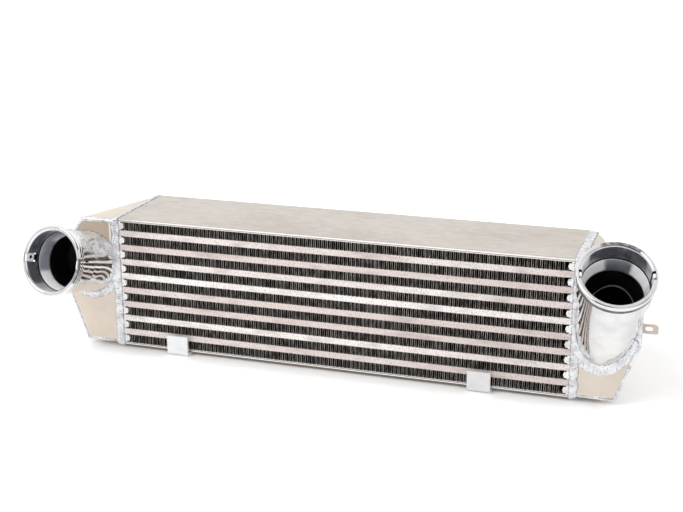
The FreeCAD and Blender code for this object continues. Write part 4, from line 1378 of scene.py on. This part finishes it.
class COOLER_OT_stage(bpy.types.Operator):
    """Set up the floor, the light and the camera"""
    bl_idname = "cooler.stage"
    bl_label = "Stage"

    def execute(self, context):
        scene = context.scene
        self.make_floor(scene.cooler_colours.floor)
        self.make_world(scene)
        self.make_lamps()
        self.make_camera(scene)
        scene.view_settings.view_transform = "Standard"
        return {"FINISHED"}

    def make_floor(self, colour):
        """White paper: its own colour for the light, with a little glow where it is seen, and a painted
        shadow where that glow is lowered under and near the part.
        """
        material, tree, shader = new_material("paper_floor", Roughness=0.8)
        shader.inputs["Base Color"].default_value = colour
        shader.inputs["Emission Color"].default_value = WHITE
        seen = add(tree, "ShaderNodeLightPath").outputs["Is Camera Ray"]
        half = (CAD_BOX[1] - CAD_BOX[0]) / 2 - SHADE_INSET
        squares = []
        for axis, end in zip("XY", half):
            aside = add(tree, MATH, [from_middle(tree, axis), end], operation="SUBTRACT")
            aside = add(tree, MATH, [aside, 0.0], operation="MAXIMUM")
            squares.append(add(tree, MATH, [aside, aside], operation="MULTIPLY"))
        away = add(tree, MATH, [add(tree, MATH, squares, operation="ADD")], operation="SQRT")
        painted_shadow = add(tree, RANGE, [away, 0.0, SHADE_REACH, -0.1, 0.13])
        far = add(tree, RANGE, [away, SHADE_REACH, GLOW_REACH, 0.0, 0.15])
        glow = add(tree, MATH, [seen, add(tree, MATH, [painted_shadow, far], operation="ADD")], operation="MULTIPLY")
        glow = add(tree, MATH, [glow, add(tree, MATH, [self.seen_rays(tree), 0.1], operation="MULTIPLY")],
                   operation="ADD")
        feed(tree, shader.inputs["Emission Strength"], glow)
        height = FLOOR_HEIGHT - 0.1 * MM
        corners = [(CORE_MIDDLE.x + x * FLOOR_REACH, CORE_MIDDLE.y + y * FLOOR_REACH, height)
                   for x, y in ((-1, -1), (1, -1), (1, 1), (-1, 1))]
        floor = new_object("floor", corners, [(0, 1, 2, 3)], material)

    def seen_rays(self, tree):
        """1 for rays that show the background: seen straight, mirrored or through glass."""
        rays = add(tree, "ShaderNodeLightPath")
        seen = add(tree, MATH, [rays.outputs["Is Camera Ray"], rays.outputs["Is Glossy Ray"]],
                   operation="MAXIMUM")
        return add(tree, MATH, [seen, rays.outputs["Is Transmission Ray"]], operation="MAXIMUM")

    def make_world(self, scene):
        """A white studio whose front is dark in reflections."""
        world = bpy.data.worlds.new("studio")
        world.use_nodes = True
        scene.world = world
        tree = world.node_tree
        tree.nodes.clear()
        strength = add(tree, RANGE, [self.seen_rays(tree), 0.0, 1.0, 0.75, 1.0])
        way = add(tree, "ShaderNodeTexCoord").outputs["Generated"]
        towards = add(tree, "ShaderNodeVectorMath", {0: way, 1: STUDIO_FRONT}, operation="DOT_PRODUCT")
        dark = add(tree, RANGE, [towards, -0.1, 0.75])
        dark = add(tree, MATH, [add(tree, MATH, [dark, dark], operation="MULTIPLY"), 0.92],
                   operation="MULTIPLY")
        mirrored = add(tree, "ShaderNodeLightPath").outputs["Is Glossy Ray"]
        left = add(tree, MATH, [1.0, add(tree, MATH, [dark, mirrored], operation="MULTIPLY")],
                   operation="SUBTRACT")
        strength = add(tree, MATH, [strength, left], operation="MULTIPLY")
        light = add(tree, "ShaderNodeBackground", {"Color": WHITE, "Strength": strength})
        add(tree, "ShaderNodeOutputWorld", {"Surface": light})

    def make_lamps(self):
        """A large soft key lamp on the left and a fainter one on the right."""
        for name, place, size, power in (
                ("key", (-1.1, -1.7, 2.0), 1.6, 31.0),
                ("fill", (1.6, -1.8, 1.2), 1.8, 8.0)):
            data = bpy.data.lights.new(name, "AREA")
            data.size = size
            data.energy = power
            lamp = bpy.data.objects.new(name, data)
            lamp.location = Vector(place) + CORE_MIDDLE
            lamp.rotation_euler = (CORE_MIDDLE - lamp.location).to_track_quat("-Z", "Y").to_euler()
            bpy.context.scene.collection.objects.link(lamp)

    def make_camera(self, scene):
        """The photograph's camera, from its place, its turns and its lens."""
        yaw, pitch, roll = [math.radians(angle) for angle in (CAMERA_YAW, CAMERA_PITCH, CAMERA_ROLL)]
        right = Vector((math.cos(yaw), math.sin(yaw), 0))
        level = Vector((-math.sin(yaw), math.cos(yaw), 0))
        ahead = level * math.cos(pitch) - UP * math.sin(pitch)
        upward = right.cross(ahead)
        rolled_right = right * math.cos(roll) + upward * math.sin(roll)
        rolled_up = upward * math.cos(roll) - right * math.sin(roll)
        data = bpy.data.cameras.new("camera")
        data.lens = CAMERA_LENS
        data.sensor_width = 36.0
        data.clip_start = 0.05
        data.clip_end = 50.0
        camera = bpy.data.objects.new("camera", data)
        turn = Matrix((rolled_right, rolled_up, -ahead)).transposed().to_4x4()
        camera.matrix_world = Matrix.Translation(CAMERA_PLACE) @ turn
        scene.collection.objects.link(camera)
        scene.camera = camera


OPERATORS = (COOLER_OT_core, COOLER_OT_fins, COOLER_OT_tanks, COOLER_OT_pipes, COOLER_OT_collars,
             COOLER_OT_core_welds, COOLER_OT_pipe_welds, COOLER_OT_stage)


class COOLER_PT_panel(bpy.types.Panel):
    """Lists the pieces of the intercooler"""
    bl_label = "Intercooler"
    bl_space_type = "VIEW_3D"
    bl_region_type = "UI"
    bl_category = "Intercooler"

    def draw(self, context):
        # The first two properties of a group are the program's own
        for group in (context.scene.cooler_sizes, context.scene.cooler_colours):
            for name in group.bl_rna.properties.keys()[2:]:
                self.layout.prop(group, name)
        for operator in OPERATORS:
            self.layout.operator(operator.bl_idname)


CLASSES = (CoolerSizes, CoolerColours, *OPERATORS, COOLER_PT_panel)


def register():
    """Make the settings, the operators and the panel known."""
    for made in CLASSES:
        bpy.utils.register_class(made)
    bpy.types.Scene.cooler_sizes = bpy.props.PointerProperty(type=CoolerSizes)
    bpy.types.Scene.cooler_colours = bpy.props.PointerProperty(type=CoolerColours)


def unregister():
    """Take them away again, in the opposite order."""
    del bpy.types.Scene.cooler_colours
    del bpy.types.Scene.cooler_sizes
    for made in reversed(CLASSES):
        bpy.utils.unregister_class(made)


def main():
    """Make every piece."""
    register()
    for operator in OPERATORS:
        category, name = operator.bl_idname.split(".")
        getattr(getattr(bpy.ops, category), name)()


if __name__ == "__main__":
    main()
